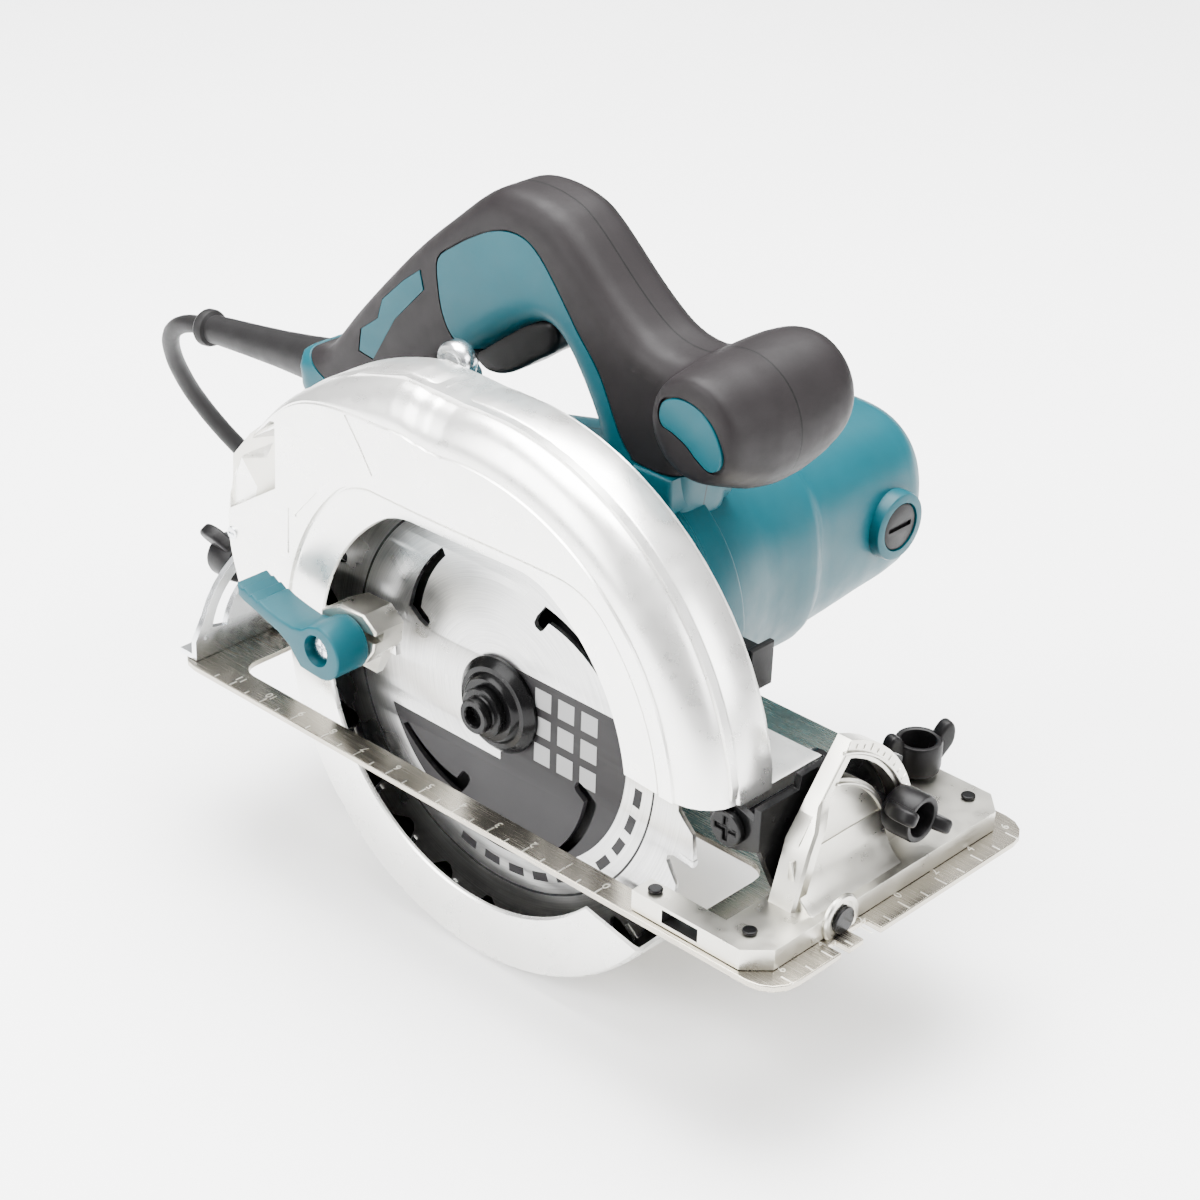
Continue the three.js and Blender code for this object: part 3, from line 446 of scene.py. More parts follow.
def varied(tree, shader, factor, colour, vary):
    """Gives the shader a base colour that drifts to both sides of its own value."""
    stops = [(0.3, shade(colour, 1 - vary)), (0.7, shade(colour, 1 + vary))]
    tree.links.new(ramp(tree, factor, stops), shader.inputs["Base Color"])


def grained(name, colour, metallic, roughness, vary=0.08, grain=900, depth=0.03, specular=0.5):
    """A moulded, cast or plated surface: cloudy colour, uneven gloss and a fine grain."""
    material, tree, shader = node_tree(name)
    place = object_position(tree)
    varied(tree, shader, noise(tree, place, 55), colour, vary)
    smudges = noise(tree, place, 130, 4)
    tree.links.new(spread(tree, smudges, *roughness), shader.inputs["Roughness"])
    shader.inputs["Metallic"].default_value = metallic
    shader.inputs["Specular IOR Level"].default_value = specular
    bump(tree, shader, noise(tree, place, grain, 2), depth, 0.6)
    return material


def brushed(name, colour, roughness, along, depth=0.01, vary=0.12):
    """Ground metal with its scratches running along one axis."""
    material, tree, shader = node_tree(name)
    stretch = tuple(0.02 if axis == along else 1.0 for axis in "xyz")
    lines = noise(tree, object_position(tree, stretch), 2600, 4, 0.7)
    clouds = noise(tree, object_position(tree), 28)
    both = math_node(tree, "ADD", product(tree, lines, 0.6), product(tree, clouds, 0.4))
    varied(tree, shader, both, colour, vary)
    tree.links.new(spread(tree, both, *roughness), shader.inputs["Roughness"])
    shader.inputs["Metallic"].default_value = 1.0
    bump(tree, shader, lines, depth, 0.5)
    return material


def with_seam(material, colour):
    """Draws the dark joint line of the two handle halves."""
    tree = material.node_tree
    shader = tree.nodes["Principled BSDF"]
    offset = math_node(tree, "SUBTRACT", axes_of(tree)["Y"], HANDLE_MIDDLE * MM)
    line = math_node(tree, "LESS_THAN", math_node(tree, "ABSOLUTE", offset), SEAM_HALF * MM)
    before = shader.inputs["Base Color"].links[0].from_socket
    tree.links.new(painted(tree, before, line, colour), shader.inputs["Base Color"])
    under = shader.inputs["Normal"].links[0].from_socket
    bump(tree, shader, math_node(tree, "SUBTRACT", 1, line), 0.5, 1.0, under)
    return material


TEAL = (0.0005, 0.055, 0.073)
TEAL_FINISH = (0.0, (0.36, 0.46), 0.05, 1500, 0.02, 0.2)
BRIGHT_CASTING = (0.9, 0.893, 0.865)
# A darker, beige copy of the casting: the beige is the metal's own tone, the extra darkness is painted
# shade.
RAW_SHADED_CASTING = (0.6, 0.585, 0.53)
RUBBER = (0.0095, 0.0078, 0.0084)
BLACK_OXIDE = (0.003, 0.003, 0.0032)
BLACK_PLASTIC = (0.0035, 0.0032, 0.0035)
CORD_BLACK = (0.007, 0.0065, 0.0068)

rubber = grained("Soft_rubber", RUBBER, 0.0, (0.46, 0.58), 0.12, 2200, 0.035, 0.16)
LOOKS = {
    "teal": grained("Teal_plastic", TEAL, *TEAL_FINISH),
    "teal_handle": with_seam(grained("Teal_handle", TEAL, *TEAL_FINISH), (0.004, 0.014, 0.018)),
    "rubber": with_seam(rubber, (0.002, 0.002, 0.002)),
    "casting": grained("Satin_casting", BRIGHT_CASTING, 0.85, (0.25, 0.34), 0.02, 1200, 0.02),
    # Darker beige casting: own beige tone plus painted shade.
    "cast_shoe": grained("Raw_casting_with_painted_shade", RAW_SHADED_CASTING, 1.0, (0.26, 0.36), 0.04, 1100, 0.02),
    # Near-black casting: painted shade inside the guards and under the front casting's shelf.
    "casting_painted_shade": grained("Casting_painted_shade", (0.006, 0.006, 0.006), 0.0, (0.5, 0.6), 0.1, 900, 0.04),
    "shoe": brushed("Brushed_shoe", (0.42, 0.39, 0.33), (0.2, 0.32), "x", 0.012, 0.25),
    "zinc": grained("Bright_zinc", (0.78, 0.8, 0.82), 1.0, (0.16, 0.3), 0.06, 700, 0.02),
    "black_steel": grained("Black_oxide", BLACK_OXIDE, 0.0, (0.18, 0.3), 0.2, 900, 0.02, 0.16),
    "black_plastic": grained("Black_plastic", BLACK_PLASTIC, 0.0, (0.34, 0.48), 0.15, 1400, 0.03, 0.16),
    "shaft": brushed("Ground_shaft", (0.6, 0.6, 0.6), (0.2, 0.32), "y"),
    "copper": grained("Copper", (0.8, 0.36, 0.2), 1.0, (0.25, 0.4), 0.1, 800, 0.02),
    "laminations": brushed("Laminations", (0.3, 0.3, 0.32), (0.4, 0.55), "z", 0.05, 0.25),
    "brass": grained("Brass", (0.75, 0.55, 0.25), 1.0, (0.28, 0.42), 0.1, 800, 0.02),
    "carbon": grained("Carbon", (0.03, 0.03, 0.032), 0.0, (0.6, 0.75), 0.2, 1500, 0.04),
    "cord": grained("Cord_rubber", CORD_BLACK, 0.0, (0.42, 0.55), 0.12, 900, 0.04, 0.2),
    "mark": grained("Stamped_mark", (0.85, 0.83, 0.76), 1.0, (0.3, 0.42), 0.05, 900, 0.02),
}


# ---- camera, floor and lights
def add_camera():
    data = bpy.data.cameras.new("Camera")
    data.lens = 85.86
    data.sensor_width = 36
    camera = linked("Camera", data)
    camera.location = (0.6058, -0.6506, 0.5453)
    camera.rotation_euler = [math.radians(turn) for turn in (61.22, -1.85, 43.48)]
    scene.camera = camera


def add_floor():
    material, tree, shader = node_tree("Pale_floor")
    place = object_position(tree)
    stops = [(0.3, (0.96, 0.96, 0.96)), (0.7, (0.99, 0.99, 0.99))]
    tree.links.new(ramp(tree, noise(tree, place, 6), stops), shader.inputs["Base Color"])
    shader.inputs["Roughness"].default_value = 0.9
    corners = [(-6000, -6000), (6000, -6000), (6000, 6000), (-6000, 6000)]
    mesh = mesh_from("Floor", [(x, y, FLOOR) for x, y in corners], [(0, 1, 2, 3)])
    mesh.materials.append(material)
    floor = linked("Floor", mesh)


def add_light(name, place, target, size, power):
    data = bpy.data.lights.new(name, "AREA")
    data.shape = "SQUARE"
    data.size = size
    data.energy = power
    light = linked(name, data)
    light.location = place
    light.rotation_euler = (Vector(target) - Vector(place)).to_track_quat("-Z", "Y").to_euler()


def add_lights():
    """A sky that darkens towards the floor, and three large soft lamps."""
    world = bpy.data.worlds.new("Studio")
    world.use_nodes = True
    tree = world.node_tree
    background = tree.nodes["Background"]
    background.inputs["Strength"].default_value = 1.25
    sky = [(0.0, (0.12, 0.12, 0.12)), (0.35, (0.4, 0.4, 0.4)), (0.7, (1, 1, 1))]
    tree.links.new(ramp(tree, axes_of(tree, "Generated")["Z"], sky), background.inputs["Color"])
    scene.world = world
    add_light("Top", (-0.2, 0.2, 1.7), (0, 0, 0), 1.6, 185)
    add_light("Blade_side", (-0.6, -1.5, 1.0), (0, 0, 0.05), 1.3, 70)
    add_light("Nose", (1.7, 0.5, 0.8), (0, 0, 0.05), 1.1, 36)


# ---- cord
CORD_RADIUS = 3.7
CORD_LENGTH = 2.5
COIL_CENTRE = (-118, 128)
COIL_RADII = (48.4, 41.0, 33.6)
COIL_START = 139
COIL_STEPS = 36
LEAD_IN = 12
ROUTE_STEPS = 6
CORD_REST = -66.2
END_LIFT = 6.4
END_LIFT_AT = 8.25
CORD_ROUTE = [
    (-229.1, 21, 82.6), (-237.5, 21, 81.2), (-245.5, 21.6, 78), (-252.3, 22.9, 73.2),
    (-257.6, 25.4, 67), (-262, 29.4, 58.8), (-265, 35, 48), (-266, 43.5, 33), (-262.5, 54.5, 15),
    (-254.5, 67, -4), (-243.5, 80, -24), (-230, 93, -42.5), (-214, 107.5, -57),
    (-197, 123, -64.7), (-180, 138, CORD_REST),
]


def path_length(points):
    return sum((Vector(b) - Vector(a)).length for a, b in zip(points, points[1:]))


def smooth_step(share):
    share = min(1.0, max(0.0, share))
    return share * share * (3 - 2 * share)


def cord_path():
    """The route from the sleeve, then turns laid side by side and layer on layer."""
    start = [COIL_START - LEAD_IN * k for k in range(3)]
    first_turn = [(*polar(COIL_CENTRE, COIL_RADII[0], turn), CORD_REST) for turn in start]
    points = catmull(CORD_ROUTE + first_turn, ROUTE_STEPS)[:-2 * ROUTE_STEPS]
    i = 0
    while path_length(points) < CORD_LENGTH * 1000:
        turns = i / COIL_STEPS
        layer, turn_in_layer = divmod(int(turns), 3)
        ease = smooth_step(turns % 1)
        order = COIL_RADII if layer % 2 == 0 else COIL_RADII[::-1]
        radius = order[turn_in_layer]
        height = FLOOR + CORD_RADIUS * (1 + 2 * layer) + 0.1
        if turn_in_layer < 2:
            radius += (order[turn_in_layer + 1] - radius) * ease
        else:
            height += 2 * CORD_RADIUS * ease
        height += END_LIFT * smooth_step((turns - END_LIFT_AT) * 2)
        points.append((*polar(COIL_CENTRE, radius, start[1] - 360 * turns), height))
        i += 1
    spare = path_length(points) - CORD_LENGTH * 1000
    a, b = Vector(points[-2]), Vector(points[-1])
    points[-1] = tuple(b - (b - a).normalized() * spare)
    return points


def add_cord():
    points = cord_path()
    curve = bpy.data.curves.new("Mains_cord", "CURVE")
    curve.dimensions = "3D"
    curve.bevel_depth = CORD_RADIUS * MM
    curve.bevel_resolution = 5
    curve.use_fill_caps = True
    spline = curve.splines.new("POLY")
    spline.points.add(len(points) - 1)
    for point, place in zip(spline.points, points):
        point.co = (*(Vector(place) * MM), 1)
    curve.materials.append(LOOKS["cord"])
    cord = linked("Mains_cord", curve)
    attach(cord, "saw_body")
    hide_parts("power_cord", "cord_coil")
    plug = refined("plug", "cord", 1.5, 3)


# ---- blade case
CASE_RADIUS = 114.0
CASE_START = 6.3
CASE_END = 178.6
CASE_FOOT = 12.2
CASE_REAR = [
    (-40, 144.2), (-65, 136.9), (-94, 120.9), (-110, 104), (-118, 93), (-126, 76), (-127, 53),
    (-119, 32.5),
]
RIM_WIDTH = 15
RIM_CURVE = [
    (0.2, -56.0), (4, -55.2), (8, -53.2), (11, -50.4), (13, -47), (13.9, -43.6), (14.2, -42.6),
    (14.9, -42.0),
]


def case_radius(degrees):
    """Outer radius of the upper guard: round in front, a scroll behind."""
    if degrees <= 104:
        return CASE_RADIUS
    rear = [(x, z - BLADE_Z) for x, z in CASE_REAR]
    radii = [(96, CASE_RADIUS)]
    radii += [(math.degrees(math.atan2(z, x)), math.hypot(x, z)) for x, z in rear]
    for (a, low), (b, high) in zip(radii, radii[1:]):
        if a <= degrees <= b:
            return low + (high - low) * (degrees - a) / (b - a)
    return radii[-1][1]


def averaged(function, degrees, reach=6, steps=6):
    places = [degrees + reach * (2 * i / steps - 1) for i in range(steps + 1)]
    return sum(function(place) for place in places) / len(places)


def clipped_circle(radius, top):
    """A circle round the blade's axis with a flat top at a given height."""
    def reach(degrees):
        rise = math.sin(math.radians(degrees))
        return min(radius, (top - BLADE_Z) / rise) if rise > 0.1 else radius
    return reach


def case_section(degrees):
    """Radius and Y of the guard's sheet: window edge, face, ridge, rim and back again."""
    window = averaged(clipped_circle(75, 97), degrees)
    band = averaged(clipped_circle(91, 102), degrees)
    outer = averaged(case_radius, degrees, 5)
    rim = RIM_WIDTH - 12 * smooth_step((degrees - 110) / 26)
    ridge = outer - rim
    share = rim / RIM_WIDTH
    face = [
        (window, -54.2), (window, -54.6), (window + 0.5, -55.2), (band - 1.0, -56.2),
        (band - 0.5, -56.2), (band - 0.1, -56.1), (band + 0.1, -55.3), (band + 0.9, -55.3),
        (band + 1.2, -56.8), (ridge - 1.5, -57.0), (ridge - 0.9, -56.9), (ridge - 0.6, -56.0),
    ]
    round_rim = [(ridge + reach * share, y) for reach, y in RIM_CURVE]
    edge = [(outer + 0.3, -41), (outer + 0.3, -27), (outer - 0.2, -25.4), (outer - 1.5, -24.8)]
    inside = [
        (outer - 3, -25.2), (outer - 3, -42), (outer - 6, -49), (outer - 15, -53.6),
        (window + 1, -54.3),
    ]
    return face + round_rim + edge + inside


def case_shell():
    """The guard's sheet, swept from a level foot in front to the end of the scroll."""
    sections = []
    steps = 150
    for i in range(steps + 1):
        share = i / steps
        section = []
        for radius, y in case_section(CASE_START + (CASE_END - CASE_START) * share):
            lowest = math.degrees(math.asin(CASE_FOOT / radius))
            x, z = polar(BLADE_AXIS, radius, lowest + (CASE_END - lowest) * share)
            section.append((x, y, z))
        sections.append(section)
    return loft("blade_case_shell", sections)


def case_pocket():
    """Tool for the recess at the upper rear of the guard: its floor rises towards the rim."""
    step = [(-96, 111.5), (-96, 104), (-96.2, 95), (-96.5, 85)]
    rim = [(-98.5, 111), (-111.5, 99.2), (-120.8, 88), (-121.8, 68)]
    sections = []
    for (x1, z1), (x2, z2) in zip(step, rim):
        sections.append([(x1, -62, z1), (x1, -47, z1), (x2, -54.6, z2), (x2, -62, z2)])
    return loft("pocket", sections)


def pocket_lining():
    """Material behind the guard's sheet that the recess is sunk into, in the darker casting as painted
    shade.
    """
    outline = [
        (-94, 113), (-98, 113), (-112.8, 100.2), (-122.6, 88.5), (-123.6, 67), (-119, 64.5),
        (-94.5, 83),
    ]
    return cut(plate("pocket_lining", "xz", outline, (-54.4, -44.5), 0.3), case_pocket())


def engraved(points, width=0.9, depth=0.5):
    """Tool for a fine line on the guard's face."""
    left = moved_sideways(points, width / 2)
    right = moved_sideways(points, -width / 2)
    return plate("line", "xz", left + right[::-1], (-60, -56.9 + depth), 0.05)


def add_blade_case():
    lines = [
        engraved([(-59, 127), (-52, 118), (-45.5, 108.5)]),
        engraved([(-86, 78), (-74, 91.5)]),
        engraved([(-89.5, 80), (-90.2, 61.5)]),
    ]
    shell = cut(case_shell(), case_pocket(), *lines)
    piece("blade_case_shell", shell, "casting", "saw_body", ("blade_case",), 28)
    # The lining takes the darker casting: painted shade in the recess.
    piece("pocket_lining", pocket_lining(), "cast_shoe", "saw_body", (), 30)
    rear = common(node_mesh("blade_case"), box((-140, -45, 0), (112.5, 10, 143.7)))
    wall = piece("blade_case_rear", rear, "casting", "saw_body", ("blade_case",), 30)
    # The inside of the back wall gets painted shade, the near-black casting.
    darkened(wall, lambda face: face.normal.y < -0.5 and -36 * MM < face.center.y < -26 * MM)
    screw = rod(2.6, (-121, -57.6, 58), (-121, -54, 58), 24, 0.5)
    screw = cut(screw, box((-122.6, -58, 57.6), (-119.4, -57.1, 58.4)))
    piece("case_screw", screw, "zinc", "saw_body")
    eye = [
        (3.6, -21), (4.4, -21.6), (6.4, -21.6), (7.4, -20.4), (7.4, -15.6), (6.4, -14.4),
        (4.4, -14.4), (3.6, -15), (3.6, -21),
    ]
    piece("case_eye", lathe("case_eye", eye, (-44, 140.5), 48), "zinc", "saw_body", (), 40)


# ---- lower guard
def guard_end(radius, y):
    """Angle at which the lower guard's front end stops."""
    if y > -48:
        return 327.0
    if radius < 80:
        return 315.5 + max(0, radius - 76) * 1.1
    return 320 + min(radius - 80, 6) * 0.5


def guard_drum():
    section = [
        (76.2, -49.4), (76.2, -50.4), (76.8, -51), (96.5, -51), (98.6, -50.2), (99.7, -48.4),
        (100, -46), (100, -29.2), (99.2, -28), (27, -28), (27, -29.8), (98.2, -29.8), (98.2, -48),
        (96, -49.4),
    ]
    steps = 110
    start = 172.5
    sections = []
    for i in range(steps + 1):
        share = i / steps
        ring = []
        for radius, y in section:
            x, z = polar(BLADE_AXIS, radius, start + (guard_end(radius, y) - start) * share)
            ring.append((x, y, z))
        sections.append(ring)
    return loft("lower_guard_drum", sections)


def guard_inside(face):
    """Whether a face is the inside of the guard's rim or the back of its side, the faces that get painted
    shade.
    """
    x, y, z = face.center.x, face.center.y, face.center.z - BLADE_Z * MM
    inward = face.normal.x * x + face.normal.z * z < 0
    behind = y > -30.5 * MM and face.normal.y < -0.5
    return behind or (inward and math.hypot(x, z) > 90 * MM)


def guard_block():
    """Boss that carries the lever, with a foot that thins downwards to clear the shoe."""
    outline = [
        (-62, 37.8), (-66, 43), (-66, 50.5), (-56, 56.4), (-44, 56.8), (-37.4, 52), (-38.5, 44),
        (-43, 37.8),
    ]
    block = plate("guard_block", "xz", outline, (-63, -49), 0.9)
    notched = cut(block, box((-48, -66, 47.5), (-35, -59, 51)))
    foot = loft("low_block", [
        [(-62, -55, 38), (-43, -55, 38), (-43, -49, 38), (-62, -49, 38)],
        [(-60, -51.8, 27), (-49, -51.8, 27), (-49, -49, 27), (-60, -49, 27)],
    ])
    return joined("guard_block", notched, foot)


def add_lower_guard():
    drum = piece("lower_guard_drum", guard_drum(), "casting", "lower_guard", ("lower_guard",), 30)
    # The drum's inside gets painted shade, the near-black casting.
    darkened(drum, guard_inside)
    hub = [(26.4, -28), (26.4, -29.8), (34, -29.8), (34, -28)]
    # The hub inside the guard is painted shade, the near-black casting.
    piece("lower_guard_hub", lathe("lower_guard_hub", hub, BLADE_AXIS, 80), "casting_painted_shade", "lower_guard")
    arm = [(-88, 22), (-86, 41), (-66, 42), (-58, 54), (-42, 54), (-40, 37.5), (-62, 37.5), (-70, 20)]
    piece("guard_arm", plate("guard_arm", "xz", arm, (-51, -48), 0.5), "casting", "lower_guard")
    piece("guard_block", guard_block(), "cast_shoe", "lower_guard", (), 30)
    add_lever()


def add_lever():
    outline = [
        (-94.2, 55.6), (-91.4, 54.2), (-90.4, 54.9), (-87.4, 53.2), (-86.4, 53.9), (-83.4, 52.2),
        (-82.4, 52.8), (-79, 51.6), (-72, 50.2), (-65, 49.4), (-60, 50.3), (-56, 53),
        *arc((-50.5, 44.5), 10.2, 95, -85, 14),
        (-55.5, 34.6), (-60.5, 35), (-63.6, 38), (-66.4, 41.4), (-72, 44.4), (-82, 47.2), (-91, 49.6),
        (-93.6, 50.8),
    ]
    x, z = LEVER_SCREW
    bore = rod(6, (x, -80, z), (x, -72, z), 40, 0.1)
    lever = cut(plate("lever", "xz", outline, (-78, -63.3), 0.9), bore)
    piece("lever_look", lever, "teal", "lower_guard", ("retracting_lever",), 32, 0.4)
    across = box((x - 3, -75.4, z - 0.6), (x + 3, -73.8, z + 0.6))
    upright = box((x - 0.6, -75.4, z - 3), (x + 0.6, -73.8, z + 3))
    head = cut(rod(4.6, (x, -75, z), (x, -72.2, z), 32, 0.8), across, upright)
    piece("lever_screw_look", head, "zinc", "lower_guard", ("lever_screw",))


# ---- blade
TEETH = 24
TOOTH_PITCH = 15
TOOTH = [(95, 0), (93.6, 3.2), (91.5, 7.5), (86.6, 9.8), (84.2, 11.2), (84.0, 12.8), (86.2, 14)]
CARBIDE_TIP = [(95, 0.05), (94.6, 1.5), (88.6, 1.2), (88.6, -0.15)]
SLOT_FOOT = [(49, 30.5), (50, 36), (45, 37.6), (41.5, 37.8), (40.3, 36), (40.5, 32.6), (42, 31.4)]


def cells(tree, value, start):
    """1 on three stripes 7.6 mm wide and 11 mm apart, from a starting place on."""
    from_start = math_node(tree, "SUBTRACT", value, start)
    stripe = math_node(tree, "MODULO", from_start, 11)
    return product(tree, within(tree, stripe, 0, 7.6), within(tree, from_start, 0, 30.5))


def blade_print(tree, x, z, radius, turn):
    """1 on a field below a stepped edge, a ring of dashes and a thin line by the rim."""
    ahead = math_node(tree, "GREATER_THAN", x, 0)
    field_top = math_node(tree, "ADD", product(tree, ahead, 40), -23)
    field = product(tree, math_node(tree, "LESS_THAN", z, field_top), within(tree, radius, 8, 60))
    wave = math_node(tree, "SINE", product(tree, turn, 34))
    dashes = product(tree, math_node(tree, "GREATER_THAN", wave, -0.35), within(tree, radius, 64.5, 68))
    low = math_node(tree, "LESS_THAN", z, 17)
    dashes = product(tree, dashes, product(tree, math_node(tree, "GREATER_THAN", x, -20), low))
    printed = math_node(tree, "MAXIMUM", field, dashes)
    return math_node(tree, "MAXIMUM", printed, within(tree, radius, 72.4, 73.3))


def blade_look():
    """Disc brushed in rings, with a dark print and a grid of lighter cells on it."""
    material, tree, shader = node_tree("Blade_steel")
    place = axes_of(tree)
    x = math_node(tree, "DIVIDE", place["X"], MM)
    z = math_node(tree, "SUBTRACT", math_node(tree, "DIVIDE", place["Z"], MM), BLADE_Z)
    square = math_node(tree, "ADD", product(tree, x, x), product(tree, z, z))
    radius = math_node(tree, "SQRT", square)
    turn = math_node(tree, "ARCTAN2", z, x)
    rings = new_node(tree, "CombineXYZ")
    tree.links.new(radius, rings.inputs[0])
    tree.links.new(product(tree, turn, 0.6), rings.inputs[1])
    scratches = noise(tree, rings.outputs[0], 2.4, 5, 0.7)
    steel = ramp(tree, scratches, [(0.3, (0.42, 0.42, 0.42)), (0.7, (0.66, 0.66, 0.65))])
    printed = blade_print(tree, x, z, radius, turn)
    squares = product(tree, cells(tree, x, 16.5), cells(tree, z, -16))
    colour = painted(tree, steel, printed, (0.013, 0.012, 0.013))
    colour = painted(tree, colour, squares, (0.27, 0.27, 0.27))
    tree.links.new(colour, shader.inputs["Base Color"])
    metal = math_node(tree, "SUBTRACT", 1, product(tree, printed, 0.97))
    tree.links.new(metal, shader.inputs["Metallic"])
    clouds = spread(tree, noise(tree, object_position(tree), 30), 0.24, 0.36)
    gloss = math_node(tree, "ADD", clouds, product(tree, printed, 0.16))
    tree.links.new(gloss, shader.inputs["Roughness"])
    shader.inputs["Specular IOR Level"].default_value = 0.2
    bump(tree, shader, scratches, 0.012, 0.5)
    return material


def round_axis(pairs, start):
    """(radius, degrees) pairs as points round the blade's axis."""
    return [polar(BLADE_AXIS, radius, start + turn) for radius, turn in pairs]


def slot_tools(turn):
    """Tools for one J-shaped relief slot; turn is the angle of its outer tip."""
    steps = range(0, 37, 3)
    outer = [(58.6 - 0.21 * k, k) for k in steps]
    inner = [(55.4 - 0.29 * k, k) for k in steps]
    return [
        prism("slot", round_axis(outline, turn), (-45, -30)) for outline in (outer + inner[::-1], SLOT_FOOT)
    ]


def add_blade():
    LOOKS["blade"] = blade_look()
    starts = [TOOTH_PITCH * i for i in range(TEETH)]
    outline = [point for start in starts for point in round_axis(TOOTH, start)]
    bore = arc(BLADE_AXIS, 15.1, 0, 354, 59)
    disc = plate("blade_look", "xz", outline, (-37.9, -36.0), 0.12, [bore], 1)
    disc = cut(disc, *[tool for turn in (31, 121, 211, 301) for tool in slot_tools(turn)])
    piece("blade_look", disc, "blade", "spindle", ("blade",), 30)
    tips = [
        plate("tip", "xz", round_axis(CARBIDE_TIP, start), (-38.2, -35.7), 0.1, (), 1) for start in starts
    ]
    piece("carbide_tips", joined("carbide_tips", *tips), "shaft", "spindle")
    flange = [
        (5.3, -38.2), (18.3, -38.2), (18.3, -39.6), (17.8, -40.2), (15.4, -42.4), (13.6, -42.6),
        (13, -43.4), (12.2, -44.4), (11.6, -44.7), (5.3, -44.7),
    ]
    flange = lathe("outer_flange", flange, BLADE_AXIS)
    piece("outer_flange_look", flange, "black_steel", "spindle", ("outer_flange",), 25)
    bolt = [
        (9.0, -44.8), (9.3, -45.2), (9.3, -47.6), (8.9, -48), (7, -48.2), (6.5, -48.6), (6.5, -51.5),
        (6, -52), (4.2, -52), (3.8, -51.4), (3.8, -48.4),
    ]
    bolt = lathe("blade_bolt", bolt, BLADE_AXIS, 48)
    piece("blade_bolt_look", bolt, "black_steel", "spindle", ("blade_bolt",), 30)
    add_drive()


DRIVE = [
    ("inner_flange", "black_steel", 0.4), ("spindle", "shaft", 0.3), ("drive_wheel", "shaft", 0.1, 1),
    ("armature_shaft", "shaft", 0.2), ("armature_core", "laminations", 0.3), ("commutator", "copper", 0.3),
    ("cooling_fan", "black_plastic", 0.3), ("stator", "laminations", 0.3), ("guard_spring", "shaft", 0.3),
]
PAIRED_DRIVE = [
    ("bearing_spindle_", "shaft", 0.4), ("bearing_armature_", "shaft", 0.4),
    ("brush_holder_", "brass", 0.4), ("brush_", "carbon", 0.3),
]


def add_drive():
    """The parts inside the housings."""
    for row in DRIVE:
        refined(*row)
    for side in ("front", "rear"):
        for node, look, bevel in PAIRED_DRIVE:
            refined(node + side, look, bevel)


# ---- motor
def barrel():
    """The barrel, round at the gears and squarer towards its end, with vents in that end."""
    profile = [
        (26, -24.6), (54.2, -24.6), (55, -23.8), (55, 21.2), (54.2, 22.4), (51.2, 23.2, 2.05),
        (50.6, 24.2, 2.1), (50.3, 26, 2.1), (47.4, 37, 2.2), (44, 50, 2.3), (42.6, 62, 2.4),
        (42.2, 76, 2.5), (41.6, 79, 2.5), (39.6, 81.4, 2.6), (38.8, 84, 2.7), (37.6, 100, 2.8),
        (36.4, 118, 2.8), (35.6, 134, 2.8), (34.8, 143, 2.7), (33.2, 147.6, 2.6), (30.5, 150.8, 2.4),
        (27, 152, 2.3), (24, 152, 2.2), (22.6, 150.6, 2.1), (1, 150.6),
    ]
    rows = [(*row, 2.0)[:3] for row in profile]
    dense = []
    for low, high in zip(rows, rows[1:]):
        dense.append(low)
        if high[1] - low[1] > 6:
            dense += [tuple(a + (b - a) * k / 3 for a, b in zip(low, high)) for k in (1, 2)]
    dense.append(rows[-1])
    vents = []
    for i in range(10):
        for radius in (13, 21):
            x, z = polar(MOTOR, radius, i * 36 + 18)
            vents.append(rod(1.6, (x, 149, z), (x, 153, z), 16, 0.1))
    return cut(lathe("motor_housing", dense, MOTOR, 144), joined("vents", *vents))


def add_brush_caps():
    """A boss on each side of the barrel, with a slotted cap sunk into it."""
    for side, sign in (("front", 1), ("rear", -1)):
        def at(reach):
            return MOTOR[0] + sign * reach, BRUSH_Y, MOTOR[1]

        boss = rod(13.5, at(20), at(BRUSH_REACH), 72, 1.2)
        well = rod(9.7, at(BRUSH_REACH - 2.2), at(BRUSH_REACH + 1), 48, 0.2)
        piece("brush_boss_" + side, cut(boss, well), "teal", "saw_body", (), 35)
        x, y, z = at(BRUSH_REACH - 0.4)
        cap = rod(9.2, at(BRUSH_REACH - 3), (x, y, z), 56, 0.6)
        cap = cut(cap, box((x - 1.2, y - 6.5, z - 1), (x + 1.2, y + 6.5, z + 1)))
        node = "brush_cap_" + side
        piece("brush_cap_look_" + side, cap, "black_plastic", "saw_body", (node,), 35)


def add_shaft_lock():
    pad = plate("shaft_lock", "yz", [(8, 46.5), (20, 46.5), (20, 63.5), (8, 63.5)], (71.3, 74), 0.6)
    arm = [(58, 48.5), (72.5, 48.5), (72.5, 60.5), (58, 60.5)]
    whole = joined("shaft_lock", pad, plate("shaft_lock_arm", "xz", arm, (9.5, 18.5), 0.8))
    piece("shaft_lock_look", whole, "black_plastic", "shaft_lock", ("shaft_lock",), 35)


def add_motor():
    piece("motor_housing_look", barrel(), "teal", "saw_body", ("motor_housing",), 38)
    add_brush_caps()
    for number, turn in ((1, 145), (2, 215)):
        x, z = polar(MOTOR, 42, turn)
        tower = rod(4.8, (x, 24, z), (x, 76, z), 40, 1.6)
        piece(f"screw_tower_{number}", tower, "teal", "saw_body", (), 40)
    rib = lathe("motor_rib", [(55.0, 8), (55.5, 8.6), (55.5, 9.6), (55.0, 10.2)], MOTOR, 120)
    piece("motor_rib", rib, "teal", "saw_body")
    refined("gear_housing", "casting", 0.8)
    add_shaft_lock()


